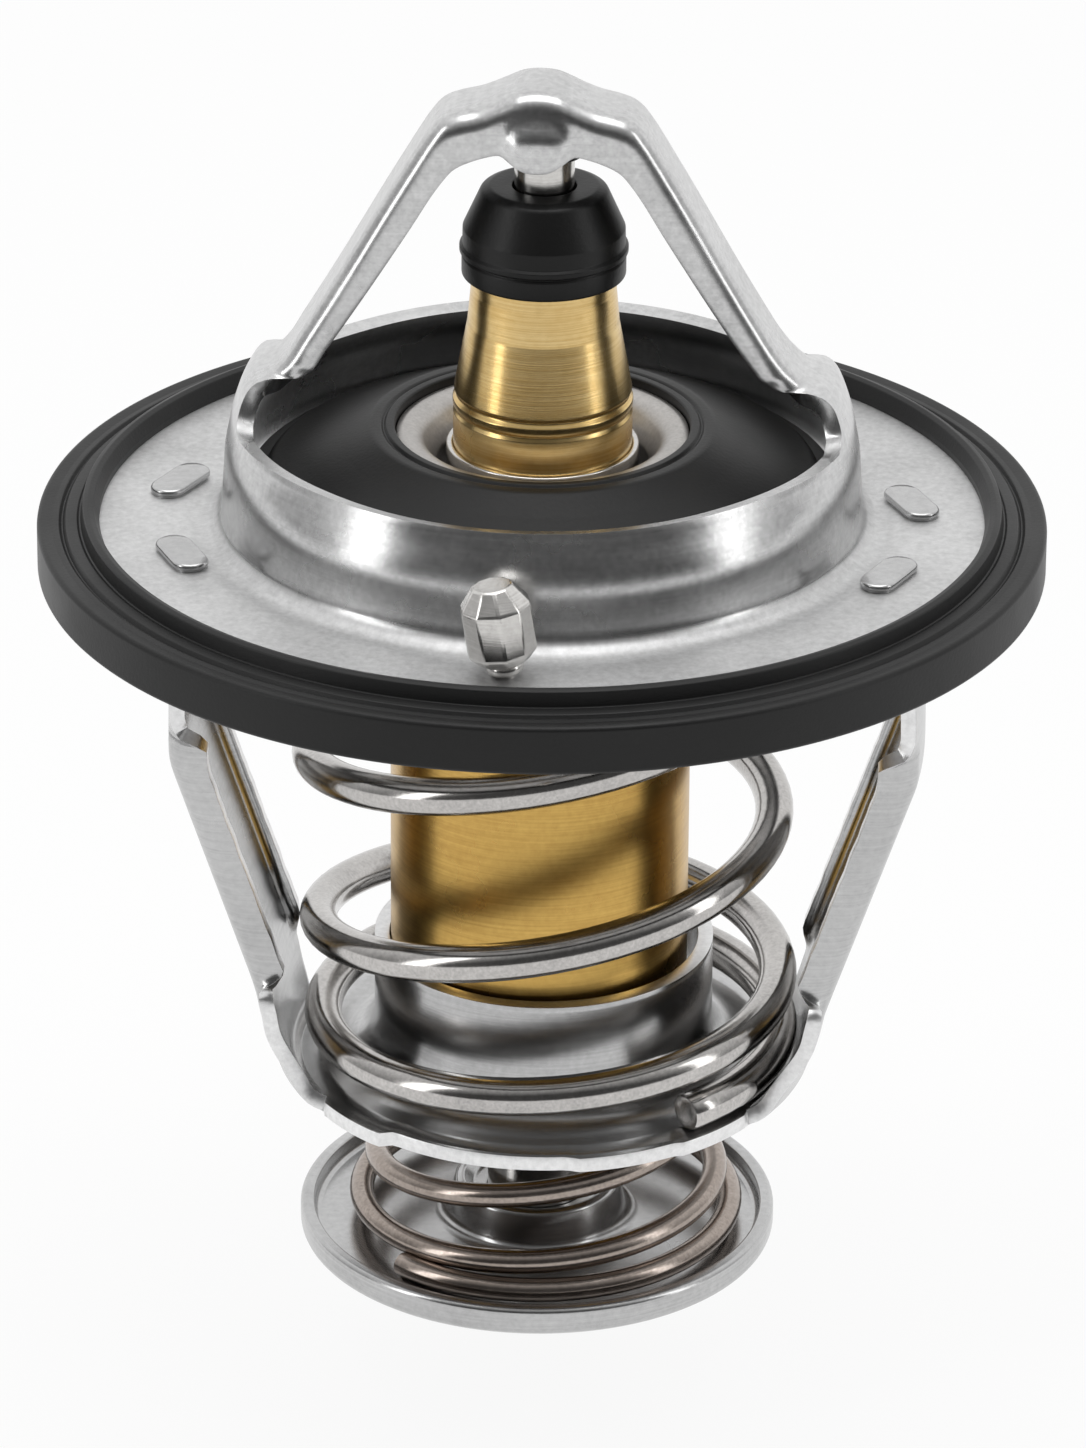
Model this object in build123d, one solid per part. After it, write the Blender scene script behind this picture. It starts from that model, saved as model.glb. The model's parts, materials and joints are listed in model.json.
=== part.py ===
from build123d import *

import os
from math import cos, hypot, pi, radians, sin, sqrt

# Wax-element coolant valve of an engine, with a bypass disc.
# Millimetres. Z is the valve's axis, and z = 0 is the underside of the bypass disc.
# The bridge's arms and the lower frame's legs lie along X, the jiggle pin on the -Y side.

# Fits
assembly_clearance = 0.02
press_clearance = 0.01

# Wax cup
cup_radius = 9.02
cup_height = 34.03
cup_wall = 1.82
cup_mouth_wall = 1.02
cup_floor = 1.6
cup_edge_round = 1.4
cup_rim_round = 0.6
cup_corner_round = 0.5
crimp_height = 1.0
crimp_width = 2.1
crimp_round = 0.3
bypass_room = 14.5

# Diaphragm, plug and disc inside the guide
diaphragm_edge = 1.5
diaphragm_rise = 0.6
diaphragm_bevel = 0.4
funnel_radius = 4.5
funnel_height = 2.9
funnel_land = 0.7
plug_clearance = 0.05
plug_neck_height = 1.55
disc_thickness = 0.8

# Piston
piston_radius = 1.77
piston_chamfer = 0.25
piston_running_clearance = 0.03
piston_show = 1.95
socket_depth = 2.7

# Guide
guide_radius = 5.31
guide_flange_height = 2.6
guide_bead_height = 6.05
guide_bead_width = 0.4
guide_bead_rise = 0.02
guide_groove_depth = 0.18
guide_cone_height = 4.3
guide_cone_top_radius = 4.49
guide_neck_height = 3.5
guide_neck_radius = 4.3
guide_neck_shoulder = 1.45
guide_nose_height = 2.4
guide_nose_radius = 3.7

# Rubber boot and the ring under it
boot_overlap = 0.45
boot_band_radius = 4.84
boot_band_round = 0.15
boot_body_radius = 4.78
boot_waist = 0.08
boot_rib_radius = 4.99
boot_rib_rise = 1.2
boot_rib_height = 0.4
boot_rib_slope = 0.12
boot_rib_round = 0.1
boot_shoulder_rise = 0.1
boot_shoulder_round = 0.3
boot_top_rise = 2.65
boot_crown_radius = 3.65
boot_crown_round = 0.45
boot_roof = 0.95
boot_piston_clearance = 0.12
boot_pocket_inset = 0.2
ring_section = 1.14
ring_clearance = 0.09
ring_depth = 0.4

# Main valve
valve_rise = 0.75
plate_thickness = 0.9
plate_bore_clearance = 0.05
plate_edge_round = 0.3
valve_wall_gap = 0.34
valve_skirt_wall = 0.7
valve_skirt_drop = 0.7
valve_skirt_round = 0.3
valve_lip_height = 0.65
valve_lip_slope = 0.2
valve_lip_inset = 1.05
dome_inset = 0.5
dome_edge_height = 1.55
dome_edge_round = 1.0
dome_rise = 2.05
dome_slope_width = 1.6
dome_round = 3.0
crest_width = 1.55
crest_height = 4.4
crest_drop = 0.15
crest_round = 0.8
crest_edge_round = 0.15
valve_bore = 7.0
valve_bore_height = 1.4
washer_sheet = 0.6
washer_gap = 0.07
washer_height = 3.95
washer_throat_gap = 0.94
washer_flare = 1.05
washer_flare_drop = 2.0
washer_bend = 1.2
washer_throat_bend = 0.8
washer_hold = 0.7
crest_inset = 0.27
sleeve_thickness = 0.39
sleeve_height = 3.25
sleeve_edge_round = 0.15

# Upper stamping: flange, collar and bridge
sheet = 1.0
collar_radius = 18.94
flange_width = 9.06
collar_root_fillet = 1.0
collar_height = 4.7
collar_shoulder_fillet = 6.0
sill_height = 6.7
foot_inset = 2.04
foot_height = 9.6
foot_corner_radius = 4.5
arm_width = 5.8
arm_back_fillet = 1.2
crown_height = 4.8
crown_flat = 1.0
hump_reach = 3.8
hump_drop = 1.45
shoulder_reach = 6.3
shoulder_drop = 2.05
arm_foot_inset = 0.4
arm_foot_drop = 1.0
crown_depth = 4.0
crown_flat_reach = 3.0
arm_inner_reach = 5.2
arm_inner_drop = 5.0
arm_inner_foot_inset = 3.8
arm_inner_foot_rise = 0.8
arm_heel_inset = 1.6
arm_heel_drop = 0.4
arm_root_drop = 0.5
bend_radius = 3.0
hump_radius = 4.0
inner_bend_radius = 2.0
inner_edge_radius = 1.0
boss_radius = 3.3
boss_tip_radius = 2.35
boss_taper_height = 1.7
boss_top_drop = 1.4
boss_tip_fillet = 0.5
boss_side_fillet = 0.9
boss_top_fillet = 1.4

# Rubber seat seal round the flange's rim
seal_wall = 2.0
seal_grip = 1.7
seal_under = 1.8
seal_over = 0.2
seal_under_bevel = 0.5
seal_edge_round = 0.25
seal_rib_width = 1.0
seal_rib_height = 1.25
seal_rib_slope = 0.25
seal_rib_round = 0.15
seal_lip_bevel = 0.3
seal_lip_height = 0.5
seal_groove_inset = 1.5
seal_groove_depth = 0.35
seal_groove_half = 0.2
seal_land_dish = 0.05

# Lower frame
frame_sheet = 0.9
leg_reach = 3.61
leg_half_width = 7.9
leg_bend_height = 19.0
leg_bend_fillet = 4.0
seat_drop = 1.9
seat_land = 0.1
seat_fillet = 1.0
rim_drop = 0.9
rim_spring_gap = 0.3
rim_fillet = 0.9
base_disc_inset = 0.25
neck_gap = 0.38
neck_height = 7.6
neck_land = 1.0
lip_depth = 1.4
lip_top_drop = 10.5
lip_top_slope = 0.9
lip_bottom_rise = 6.2
lip_bottom_slope = 2.4
lip_corner_round = 1.0
tab_angle = 14.0
tab_shift = 3.0
tab_width = 2.9
tab_clearance = 0.05
pad_turn = 26.0
pad_length = 4.8
pad_width = 2.2
pad_height = 0.35

# Springs, both right-handed, with closed ends
main_wire = 2.3
main_spring_radius = 15.05
main_turns = 4.81
main_start_angle = -52.0
main_closed_pitch = 2.31
main_closing = 1.0
main_opening = 1.25
main_lean = 1.05
main_bow = 0.4
bypass_wire = 1.5
bypass_rim_gap = 1.0
bypass_top_inset = 0.12
bypass_turns = 3.9
bypass_start_angle = -132.0
bypass_closed_pitch = 1.2
bypass_closing = 1.0
bypass_opening = 1.6
bypass_lean = 0.8
spring_seat_gap = 0.02
settle_turns = 0.4
lean_direction = -25.0
points_per_turn = 16

# Bypass disc and its rod
dish_sheet = 0.9
dish_radius = 14.6
dish_rim_height = 1.95
dish_corner_fillet = 0.3
hub_radius = 5.45
hub_top_radius = 4.95
hub_height = 2.6
hub_foot_fillet = 0.8
hub_crest_fillet = 0.6
hub_throat_drop = 0.35
rod_radius = 3.05
rod_running_clearance = 0.08
rod_tail = 0.47
rod_edge_round = 0.1
clip_thickness = 0.7
clip_radius = 3.9
clip_groove_depth = 0.45
clip_opening = 2.4
tenon_radius = 2.2
tenon_height = 0.8

# Jiggle pin, which leans in its hole
jiggle_reach = 3.66
jiggle_angle = -92.0
jiggle_lean = 9.0
jiggle_hole_radius = 0.85
jiggle_travel = 0.9
jiggle_shank_radius = 0.5
jiggle_stem_radius = 0.78
jiggle_collar_radius = 1.08
jiggle_collar_height = 0.75
jiggle_collar_round = 0.3
jiggle_head_radius = 1.3
jiggle_head_height = 1.7
jiggle_head_cone = 0.5
jiggle_head_band = 0.4
jiggle_head_round = 0.2
weight_radius = 2.1
weight_flat_relief = 0.03
weight_facets = 10
weight_foot_height = 0.7
weight_foot_radius = 1.5
weight_body_height = 2.8
weight_top_height = 1.2
weight_top_radius = 1.2
weight_bore_depth = 2.4

# Worked out from the sizes above, from the bypass disc upwards
cup_bottom = bypass_room
cup_top = cup_bottom + cup_height
cup_mouth_radius = cup_radius - cup_mouth_wall
cup_bore_radius = cup_radius - cup_wall
plate_bottom = cup_top + assembly_clearance
plate_top = plate_bottom + plate_thickness
valve_seat = plate_top + assembly_clearance
guide_flange_top = cup_top - crimp_height - assembly_clearance
guide_flange_bottom = guide_flange_top - guide_flange_height
guide_bore_radius = piston_radius + piston_running_clearance
guide_bead_z = plate_top + guide_bead_height
guide_cone_bottom = guide_bead_z + 1.5 * guide_bead_width
guide_cone_top = guide_cone_bottom + guide_cone_height
guide_neck_top = guide_cone_top + guide_neck_height
guide_nose_top = guide_neck_top + guide_nose_height
ring_seat_radius = piston_radius + ring_clearance + ring_section + assembly_clearance
ring_seat_z = guide_nose_top - ring_section - ring_depth
diaphragm_bottom = guide_flange_bottom - diaphragm_edge - assembly_clearance
diaphragm_top = guide_flange_bottom + diaphragm_rise
cup_step_z = diaphragm_bottom - assembly_clearance
funnel_bottom = guide_flange_bottom + funnel_land
funnel_top = funnel_bottom + funnel_height
disc_bottom = funnel_top + plug_neck_height + assembly_clearance
piston_foot = disc_bottom + disc_thickness + assembly_clearance
boot_bottom = guide_neck_top - boot_overlap
boot_rib_z = guide_neck_top + boot_rib_rise
boot_shoulder_z = guide_nose_top + boot_shoulder_rise
boot_top = guide_nose_top + boot_top_rise
boss_bottom = boot_top + piston_show
crown_top = boss_bottom + crown_height
flange_top = plate_bottom - valve_rise
flange_underside = flange_top - sheet
flange_radius = collar_radius + flange_width
seal_radius = flange_radius + seal_wall
jiggle_circle_radius = collar_radius + jiggle_reach
foot_top_radius = collar_radius - foot_inset
foot_top_z = flange_top + foot_height
arm_foot_x = foot_top_radius - arm_foot_inset
arm_foot_z = foot_top_z - arm_foot_drop
seat_z = cup_bottom - seat_drop
seat_edge_radius = main_spring_radius - main_wire / 2 + seat_land
rim_z = seat_z - rim_drop
rim_radius = main_spring_radius + rim_spring_gap
neck_radius = cup_radius + neck_gap + frame_sheet
neck_fillet = seat_edge_radius - seat_land - neck_radius - neck_land
leg_radius = collar_radius + leg_reach
leg_bend_z = seat_z + leg_bend_height
leg_inner_radius = leg_radius - frame_sheet
valve_radius = collar_radius - sheet - valve_wall_gap
plate_radius = valve_radius - valve_skirt_wall
valve_crest_radius = cup_radius - crest_inset
washer_throat_radius = guide_radius + washer_throat_gap
washer_top = plate_top + washer_height
throat_z = hub_height - hub_throat_drop


def revolved(points, radii=0):
    """A ring or disc turned about Z from the (radius, height) corners of its section."""
    outline = FilletPolyline(*points, radius=radii, close=True)
    return revolve(make_face(Plane.XZ * outline), Axis.Z)


def sheet_outline(points, radii, thickness):
    """Corners and corner radii of a bent sheet: one side through points, the other on its left."""
    far_points = []
    far_radii = []
    for i, (x, y) in enumerate(points):
        steps = []
        if i > 0:
            steps.append((x - points[i - 1][0], y - points[i - 1][1]))
        if i < len(points) - 1:
            steps.append((points[i + 1][0] - x, points[i + 1][1] - y))
        normals = [(-dy / hypot(dx, dy), dx / hypot(dx, dy)) for dx, dy in steps]
        first, last = normals[0], normals[-1]
        spread = thickness / (1 + first[0] * last[0] + first[1] * last[1])
        far_points.append((x + spread * (first[0] + last[0]), y + spread * (first[1] + last[1])))
        turn = first[0] * last[1] - first[1] * last[0]
        bend = thickness if turn < 0 else -thickness
        far_radii.append(max(radii[i] + bend, 0) if radii[i] else 0)
    return list(points) + far_points[::-1], list(radii) + far_radii[::-1]


def drawn_sheet(points, radii, thickness):
    """A round drawn sheet: the section's side through points, with the sheet on its left."""
    corners, corner_radii = sheet_outline(points, radii, thickness)
    return revolved(corners, corner_radii)


def ramp(x, low, high):
    """Smooth step from 0 at low to 1 at high."""
    t = min(max((x - low) / (high - low), 0), 1)
    return t * t * (3 - 2 * t)


def ramp_integral(x, low, high):
    """Integral of ramp from low to x."""
    t = min(max((x - low) / (high - low), 0), 1)
    return (high - low) * (t**3 - t**4 / 2) + max(x - high, 0)


def wound_wire(wire, turns, start_angle, heights, closed_pitch, opening, radii, lean, bow):
    """A right-handed compression spring with closed ends, its heights and radii at the wire's centre."""
    low, high = heights
    closed, opened = opening
    rise = (high - low - closed_pitch * turns) / (turns - closed - opened)
    points = []
    count = round(turns * points_per_turn)
    for i in range(count + 1):
        u = turns * i / count
        climb = ramp_integral(u, closed, opened) - ramp_integral(u, turns - opened, turns - closed)
        z = low + closed_pitch * u + rise * climb
        angle = radians(start_angle) + 2 * pi * u
        middle = ramp(u, settle_turns, opened) * ramp(turns - u, settle_turns, opened)
        radius = radii[0] + (radii[1] - radii[0]) * u / turns
        tilt = lean * middle * cos(angle - radians(lean_direction))
        points.append((radius * cos(angle) + bow * middle, radius * sin(angle), z + tilt))
    path = Spline(*points)
    return sweep(Plane(path @ 0, z_dir=path % 0) * Circle(wire / 2), path)


def arch_line():
    """Half of the bridge's outer line in X and Z, from the crown to the collar."""
    return [
        (0, crown_top),
        (crown_flat, crown_top),
        (hump_reach, crown_top - hump_drop),
        (shoulder_reach, crown_top - shoulder_drop),
        (arm_foot_x, arm_foot_z),
    ]


def inner_arch_line():
    """Half of the bridge's inner line in X and Z, from the crown's underside to the collar."""
    return [
        (crown_flat_reach, crown_top - crown_depth),
        (arm_inner_reach, crown_top - arm_inner_drop),
        (foot_top_radius - arm_inner_foot_inset, foot_top_z + arm_inner_foot_rise),
        (foot_top_radius - arm_heel_inset, foot_top_z - arm_heel_drop),
        (arm_foot_x, arm_foot_z - arm_root_drop),
    ]


def both_halves(points):
    """A line from the axis outwards, with its mirror image in front."""
    return [(-x, z) for x, z in points[:0:-1]] + list(points)


def slot_block(width, length, height):
    """A slot-shaped block standing on the XY plane, its length along Y."""
    return extrude(Plane.XY * Rot(0, 0, 90) * SlotOverall(length, width), height)


def tab_places():
    """Azimuths of the four staked tabs, a little to the front, each with the azimuth its pad faces."""
    places = []
    for side, forward in ((0, -tab_shift), (180, tab_shift)):
        for sense in (1, -1):
            places.append((side + sense * tab_angle + forward, side + sense * pad_turn))
    return places


def leg_ring_sector(clearance, low, high):
    """The four tabs, as sectors of the leg's wall, grown by a clearance."""
    outer = leg_radius + clearance
    inner = leg_inner_radius - clearance
    wall = Pos(0, 0, low) * (extrude(Circle(outer) - Circle(inner), high - low))
    width = tab_width + 2 * clearance
    blocks = Part()
    for azimuth, _ in tab_places():
        block = Box(outer, width, high, align=(Align.MIN, Align.CENTER, Align.MIN))
        blocks += Rot(0, 0, azimuth) * block
    return wall & blocks


def bridge_windows():
    """What is cut from the collar in front of the bridge's arms and behind them."""
    half = arm_width / 2
    sill = flange_top + sill_height
    corners = [(half, crown_top), (half, sill), (flange_radius, sill), (flange_radius, crown_top)]
    outline = FilletPolyline(*corners, radius=[0, foot_corner_radius, 0, 0], close=True)
    cut = extrude(make_face(Plane.YZ * outline), flange_radius, both=True)
    return cut + mirror(cut, Plane.XZ)


def bridge_channel():
    """The bridge's channel: a sheet over the arch, with a flange down each side."""
    half = arm_width / 2
    outer = both_halves(arch_line())
    half_radii = [bend_radius, hump_radius, bend_radius, 0]
    outer_radii = half_radii[::-1] + [0] + half_radii
    inner_half = inner_arch_line()
    inner = inner_half[::-1] + [(-x, z) for x, z in inner_half]
    inner_half_radii = [inner_edge_radius, inner_bend_radius, inner_bend_radius, inner_edge_radius, 0]
    inner_radii = inner_half_radii[::-1] + inner_half_radii
    outline = FilletPolyline(*(outer + inner), radius=outer_radii + inner_radii, close=True)
    arch = extrude(make_face(Plane.XZ * outline), half, both=True)
    arch = fillet([edge for edge in arch.edges() if on_back(edge)], arm_back_fillet)

    line, line_radii = sheet_outline(outer[::-1], outer_radii[::-1], sheet)
    under = line[len(outer):]
    under_radii = line_radii[len(outer):]
    corners = [(under[0][0], flange_top)] + under + [(under[-1][0], flange_top)]
    hollow_outline = FilletPolyline(*corners, radius=[0] + under_radii + [0], close=True)
    hollow = extrude(make_face(Plane.XZ * hollow_outline), half - sheet, both=True)
    return arch - hollow


def on_back(edge):
    """Whether an edge of the bridge lies along its outer line, on either side of the arm."""
    point = edge @ 0.5
    if abs(abs(point.Y) - arm_width / 2) > press_clearance:
        return False
    reach = abs(point.X)
    line = arch_line()
    for (x0, z0), (x1, z1) in zip(line, line[1:]):
        if x0 - press_clearance <= reach <= x1 + press_clearance:
            height = z0 + (z1 - z0) * (reach - x0) / (x1 - x0)
            return abs(point.Z - height) < sheet / 2 and reach < arm_foot_x - press_clearance
    return False


def crown_boss():
    """Boss in the crown that holds the piston's top."""
    top = crown_top - boss_top_drop
    return revolved(
        [
            (0, boss_bottom),
            (boss_tip_radius, boss_bottom),
            (boss_radius, boss_bottom + boss_taper_height),
            (boss_radius, top),
            (0, top),
        ],
        [0, boss_tip_fillet, boss_side_fillet, boss_top_fillet, 0],
    )


def bridge_flange():
    """One deep-drawn stamping: flange, collar, and the bridge whose crown holds the piston."""
    body = drawn_sheet(
        [
            (flange_radius, flange_top),
            (collar_radius, flange_top),
            (collar_radius, flange_top + collar_height),
            (foot_top_radius, foot_top_z),
        ],
        [0, collar_root_fillet, collar_shoulder_fillet, 0],
        sheet,
    )
    body = body - bridge_windows() + bridge_channel() + crown_boss()
    body -= Pos(0, 0, boss_bottom) * extrude(Circle(piston_radius + press_clearance), socket_depth)
    below = flange_underside - sheet
    body -= leg_ring_sector(tab_clearance, below, flange_top + sheet)
    place = Rot(0, 0, jiggle_angle) * Pos(jiggle_circle_radius, 0, below)
    return body - place * extrude(Circle(jiggle_hole_radius), 3 * sheet)


def seat_seal():
    """Moulded rubber ring that grips the flange's rim, with a rib and a groove on its upper face."""
    bore = flange_radius - seal_grip
    bottom = flange_underside - seal_under
    land = flange_top + seal_over
    groove = seal_radius - seal_groove_inset
    rib = bore + seal_rib_width
    rib_top = flange_top + seal_rib_height
    return revolved(
        [
            (flange_radius, flange_underside),
            (bore, flange_underside),
            (bore, bottom + seal_under_bevel),
            (bore + seal_under_bevel, bottom),
            (seal_radius, bottom),
            (seal_radius, land),
            (groove + seal_groove_half, land - seal_land_dish),
            (groove, land - seal_groove_depth),
            (groove - seal_groove_half, land),
            (rib + seal_rib_slope, land + seal_groove_half),
            (rib, rib_top),
            (bore + seal_lip_bevel, rib_top),
            (bore, flange_top + seal_lip_height),
            (bore, flange_top),
            (flange_radius, flange_top),
        ],
        [
            0, 0, 0, 0, seal_edge_round, seal_edge_round, 0, 0, 0, 0,
            seal_rib_round, seal_rib_round, 0, 0, 0,
        ],
    )


def leg_wall_x(z):
    """X of the middle of the leg's wall at its turned-in lip."""
    slope = (leg_inner_radius - rim_radius) / (leg_bend_z - rim_z)
    radius = leg_inner_radius + frame_sheet / 2 - slope * max(leg_bend_z - z, 0)
    return sqrt(radius**2 - (leg_half_width - frame_sheet / 2)**2)


def leg_lip():
    """The lip turned in along one edge of a leg, on the +X and +Y side."""
    top = flange_underside - lip_top_drop
    bottom = seat_z + lip_bottom_rise
    wall = [(leg_wall_x(z), z) for z in (top, leg_bend_z, bottom)]
    inner_heights = (bottom + lip_bottom_slope, leg_bend_z, top - lip_top_slope)
    inner = [(leg_wall_x(z) - lip_depth, z) for z in inner_heights]
    radii = [0, 0, 0, lip_corner_round, lip_corner_round, lip_corner_round / 2]
    face = make_face(Plane.XZ * FilletPolyline(*(wall + inner), radius=radii, close=True))
    return Pos(0, leg_half_width, 0) * extrude(face, frame_sheet)


def lower_frame():
    """One stamping: two legs staked through the flange, the main spring's seat and the guide neck."""
    blank = drawn_sheet(
        [
            (leg_inner_radius, flange_underside),
            (leg_inner_radius, leg_bend_z),
            (rim_radius, rim_z),
            (seat_edge_radius, seat_z),
            (neck_radius, seat_z),
            (neck_radius, seat_z + neck_height),
        ],
        [0, leg_bend_fillet, rim_fillet, seat_fillet, neck_fillet, 0],
        frame_sheet,
    )
    strip = Box(2 * leg_radius, 2 * leg_half_width, flange_underside,
                align=(Align.CENTER, Align.CENTER, Align.MIN))
    disc = extrude(Circle(rim_radius - base_disc_inset), flange_underside)
    frame = blank & (strip + disc)
    lips = leg_lip()
    lips += mirror(lips, Plane.XZ)
    frame += lips + mirror(lips, Plane.YZ)
    frame += leg_ring_sector(0, flange_underside, flange_top)
    for azimuth, facing in tab_places():
        place = Rot(0, 0, azimuth) * Pos(leg_radius - frame_sheet / 2, 0, flange_top)
        frame += place * Rot(0, 0, facing - azimuth) * slot_block(pad_width, pad_length, pad_height)
    return frame


def piston():
    """Polished pin, held in the crown, that the element pushes itself down from."""
    top = boss_bottom + socket_depth - assembly_clearance
    pin = Pos(0, 0, piston_foot) * extrude(Circle(piston_radius), top - piston_foot)
    return chamfer(pin.edges().filter_by(GeomType.CIRCLE), piston_chamfer)


def guide():
    """Turned brass guide: crimped flange, waisted body with a bead, and the nose under the boot."""
    groove = guide_radius - guide_groove_depth
    bead = guide_radius + guide_bead_rise
    flange = cup_mouth_radius - assembly_clearance
    return revolved([
        (funnel_radius, guide_flange_bottom),
        (flange, guide_flange_bottom),
        (flange, guide_flange_top),
        (guide_radius, guide_flange_top),
        (guide_radius, guide_bead_z - 1.5 * guide_bead_width),
        (groove, guide_bead_z - guide_bead_width),
        (bead, guide_bead_z - guide_bead_width / 2),
        (bead, guide_bead_z + guide_bead_width / 2),
        (groove, guide_bead_z + guide_bead_width),
        (guide_radius - guide_bead_rise, guide_cone_bottom),
        (guide_cone_top_radius, guide_cone_top),
        (guide_neck_radius, guide_neck_top - guide_neck_shoulder),
        (guide_neck_radius, guide_neck_top),
        (guide_nose_radius, guide_neck_top),
        (guide_nose_radius, guide_nose_top),
        (ring_seat_radius, guide_nose_top),
        (ring_seat_radius, ring_seat_z),
        (guide_bore_radius, ring_seat_z),
        (guide_bore_radius, funnel_top),
        (funnel_radius, funnel_bottom),
    ])


def piston_ring():
    """Rubber ring that wipes the piston at the top of the guide."""
    middle = piston_radius + ring_clearance + ring_section / 2
    section = Plane.XZ * Pos(middle, ring_seat_z + ring_section / 2 + assembly_clearance)
    return revolve(section * Circle(ring_section / 2), Axis.Z)


def boot():
    """Rubber boot that keeps dirt off the piston where it enters the guide."""
    neck = guide_neck_radius + assembly_clearance
    nose = guide_nose_radius + assembly_clearance
    step = guide_neck_top + assembly_clearance
    ceiling = guide_nose_top + assembly_clearance
    wiper = piston_radius + boot_piston_clearance
    pocket = ring_seat_radius - boot_pocket_inset
    rib_low = boot_rib_z - boot_rib_height / 2
    rib_high = boot_rib_z + boot_rib_height / 2
    return revolved(
        [
            (neck, boot_bottom),
            (boot_band_radius, boot_bottom),
            (boot_band_radius, rib_low - 2 * boot_rib_slope),
            (boot_body_radius - boot_waist, rib_low - boot_rib_slope),
            (boot_rib_radius, rib_low),
            (boot_rib_radius, rib_high),
            (boot_body_radius, rib_high + boot_rib_slope),
            (boot_body_radius - boot_waist, boot_shoulder_z),
            (boot_crown_radius, boot_top),
            (wiper, boot_top),
            (wiper, boot_top - boot_roof),
            (pocket, boot_top - boot_roof),
            (pocket, ceiling),
            (nose, ceiling),
            (nose, step),
            (neck, step),
        ],
        [
            0, boot_band_round, 0, 0, boot_rib_round, boot_rib_round, 0, boot_shoulder_round,
            boot_crown_round, 0, 0, 0, 0, 0, 0, 0,
        ],
    )


def wax_cup():
    """Deep brass cup of the element, crimped in over the guide's flange."""
    lip = cup_radius - crimp_width
    cup = revolved(
        [
            (0, cup_bottom),
            (cup_radius, cup_bottom),
            (cup_radius, cup_top),
            (lip, cup_top),
            (lip, cup_top - crimp_height),
            (cup_mouth_radius, cup_top - crimp_height),
            (cup_mouth_radius, cup_step_z),
            (cup_bore_radius, cup_step_z),
            (cup_bore_radius, cup_bottom + cup_floor),
            (0, cup_bottom + cup_floor),
        ],
        [0, cup_edge_round, cup_rim_round, crimp_round, 0, 0, 0, 0, cup_corner_round, 0],
    )
    socket = extrude(Circle(tenon_radius + press_clearance), tenon_height)
    return cup - Pos(0, 0, cup_bottom) * socket


def wax_charge():
    """The wax that swells to drive the piston."""
    low = cup_bottom + cup_floor + assembly_clearance
    radius = cup_bore_radius - assembly_clearance
    corners = [(0, low), (radius, low), (radius, cup_step_z), (0, cup_step_z)]
    return revolved(corners, [0, cup_corner_round, 0, 0])


def diaphragm():
    """Rubber diaphragm between the wax and the plug, clamped at its edge."""
    edge = cup_mouth_radius - assembly_clearance
    crown = funnel_radius - plug_clearance
    return revolved([
        (0, diaphragm_bottom),
        (edge, diaphragm_bottom),
        (edge, diaphragm_bottom + diaphragm_edge),
        (crown, diaphragm_bottom + diaphragm_edge),
        (crown - diaphragm_bevel, diaphragm_top),
        (0, diaphragm_top),
    ])


def transfer_plug():
    """Rubber plug that flows from the guide's funnel into its bore and lifts the disc."""
    neck = guide_bore_radius - plug_clearance
    base = funnel_radius - 2 * plug_clearance
    bottom = diaphragm_top + assembly_clearance
    top = disc_bottom - assembly_clearance
    return revolved([
        (0, bottom),
        (base, bottom),
        (base, funnel_bottom),
        (neck, funnel_top),
        (neck, top),
        (0, top),
    ])


def anti_extrusion_disc():
    """Thin hard disc under the piston that keeps the plug from creeping past it."""
    radius = guide_bore_radius - assembly_clearance
    return Pos(0, 0, disc_bottom) * extrude(Circle(radius), disc_thickness)


def valve_plate():
    """Flat steel disc of the main valve, pushed up by the main spring."""
    bore = guide_radius + plate_bore_clearance
    edge = [(plate_radius, plate_bottom), (plate_radius, plate_top)]
    radii = [0, plate_edge_round, plate_edge_round, 0]
    return revolved([(bore, plate_bottom)] + edge + [(bore, plate_top)], radii)


def valve_seal():
    """Moulded rubber facing of the main valve: inner crest, domed face and outer sealing lip."""
    skirt_bore = plate_radius + assembly_clearance
    skirt_bottom = valve_seat - valve_skirt_drop
    lip_top = valve_seat + valve_lip_height
    dome = plate_radius - dome_inset
    dome_edge_z = plate_top + dome_edge_height
    crest_outer = valve_crest_radius + crest_width
    crest_top = plate_top + crest_height
    under_washer = washer_top - washer_sheet - assembly_clearance
    return revolved(
        [
            (valve_bore, valve_seat),
            (skirt_bore, valve_seat),
            (skirt_bore, skirt_bottom),
            (valve_radius, skirt_bottom),
            (valve_radius, lip_top),
            (valve_radius - valve_lip_inset, lip_top + valve_lip_slope),
            (dome, dome_edge_z),
            (crest_outer + dome_slope_width, dome_edge_z + dome_rise),
            (crest_outer, crest_top - crest_drop),
            (valve_crest_radius, crest_top),
            (valve_crest_radius, under_washer),
            (valve_crest_radius - washer_gap - washer_hold, under_washer),
            (valve_bore, plate_top + valve_bore_height),
        ],
        [
            0, 0, 0, valve_skirt_round, valve_skirt_round, valve_lip_slope, dome_edge_round,
            dome_round, crest_round, crest_edge_round, 0, 0, 0,
        ],
    )


def valve_washer():
    """Drawn steel washer that clamps the rubber facing's inner edge down on the plate."""
    return drawn_sheet(
        [
            (valve_crest_radius - washer_gap, washer_top),
            (washer_throat_radius + washer_flare, washer_top),
            (washer_throat_radius, washer_top - washer_flare_drop),
            (washer_throat_radius, valve_seat),
        ],
        [0, washer_bend, washer_throat_bend, 0],
        washer_sheet,
    )


def retaining_sleeve():
    """Thin sleeve pressed on the guide, which holds the valve's plate to the element."""
    inner = guide_radius + press_clearance
    outer = inner + sleeve_thickness
    top = plate_top + sleeve_height
    corners = [(inner, valve_seat), (outer, valve_seat), (outer, top), (inner, top)]
    return revolved(corners, [0, 0, sleeve_edge_round, 0])


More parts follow.
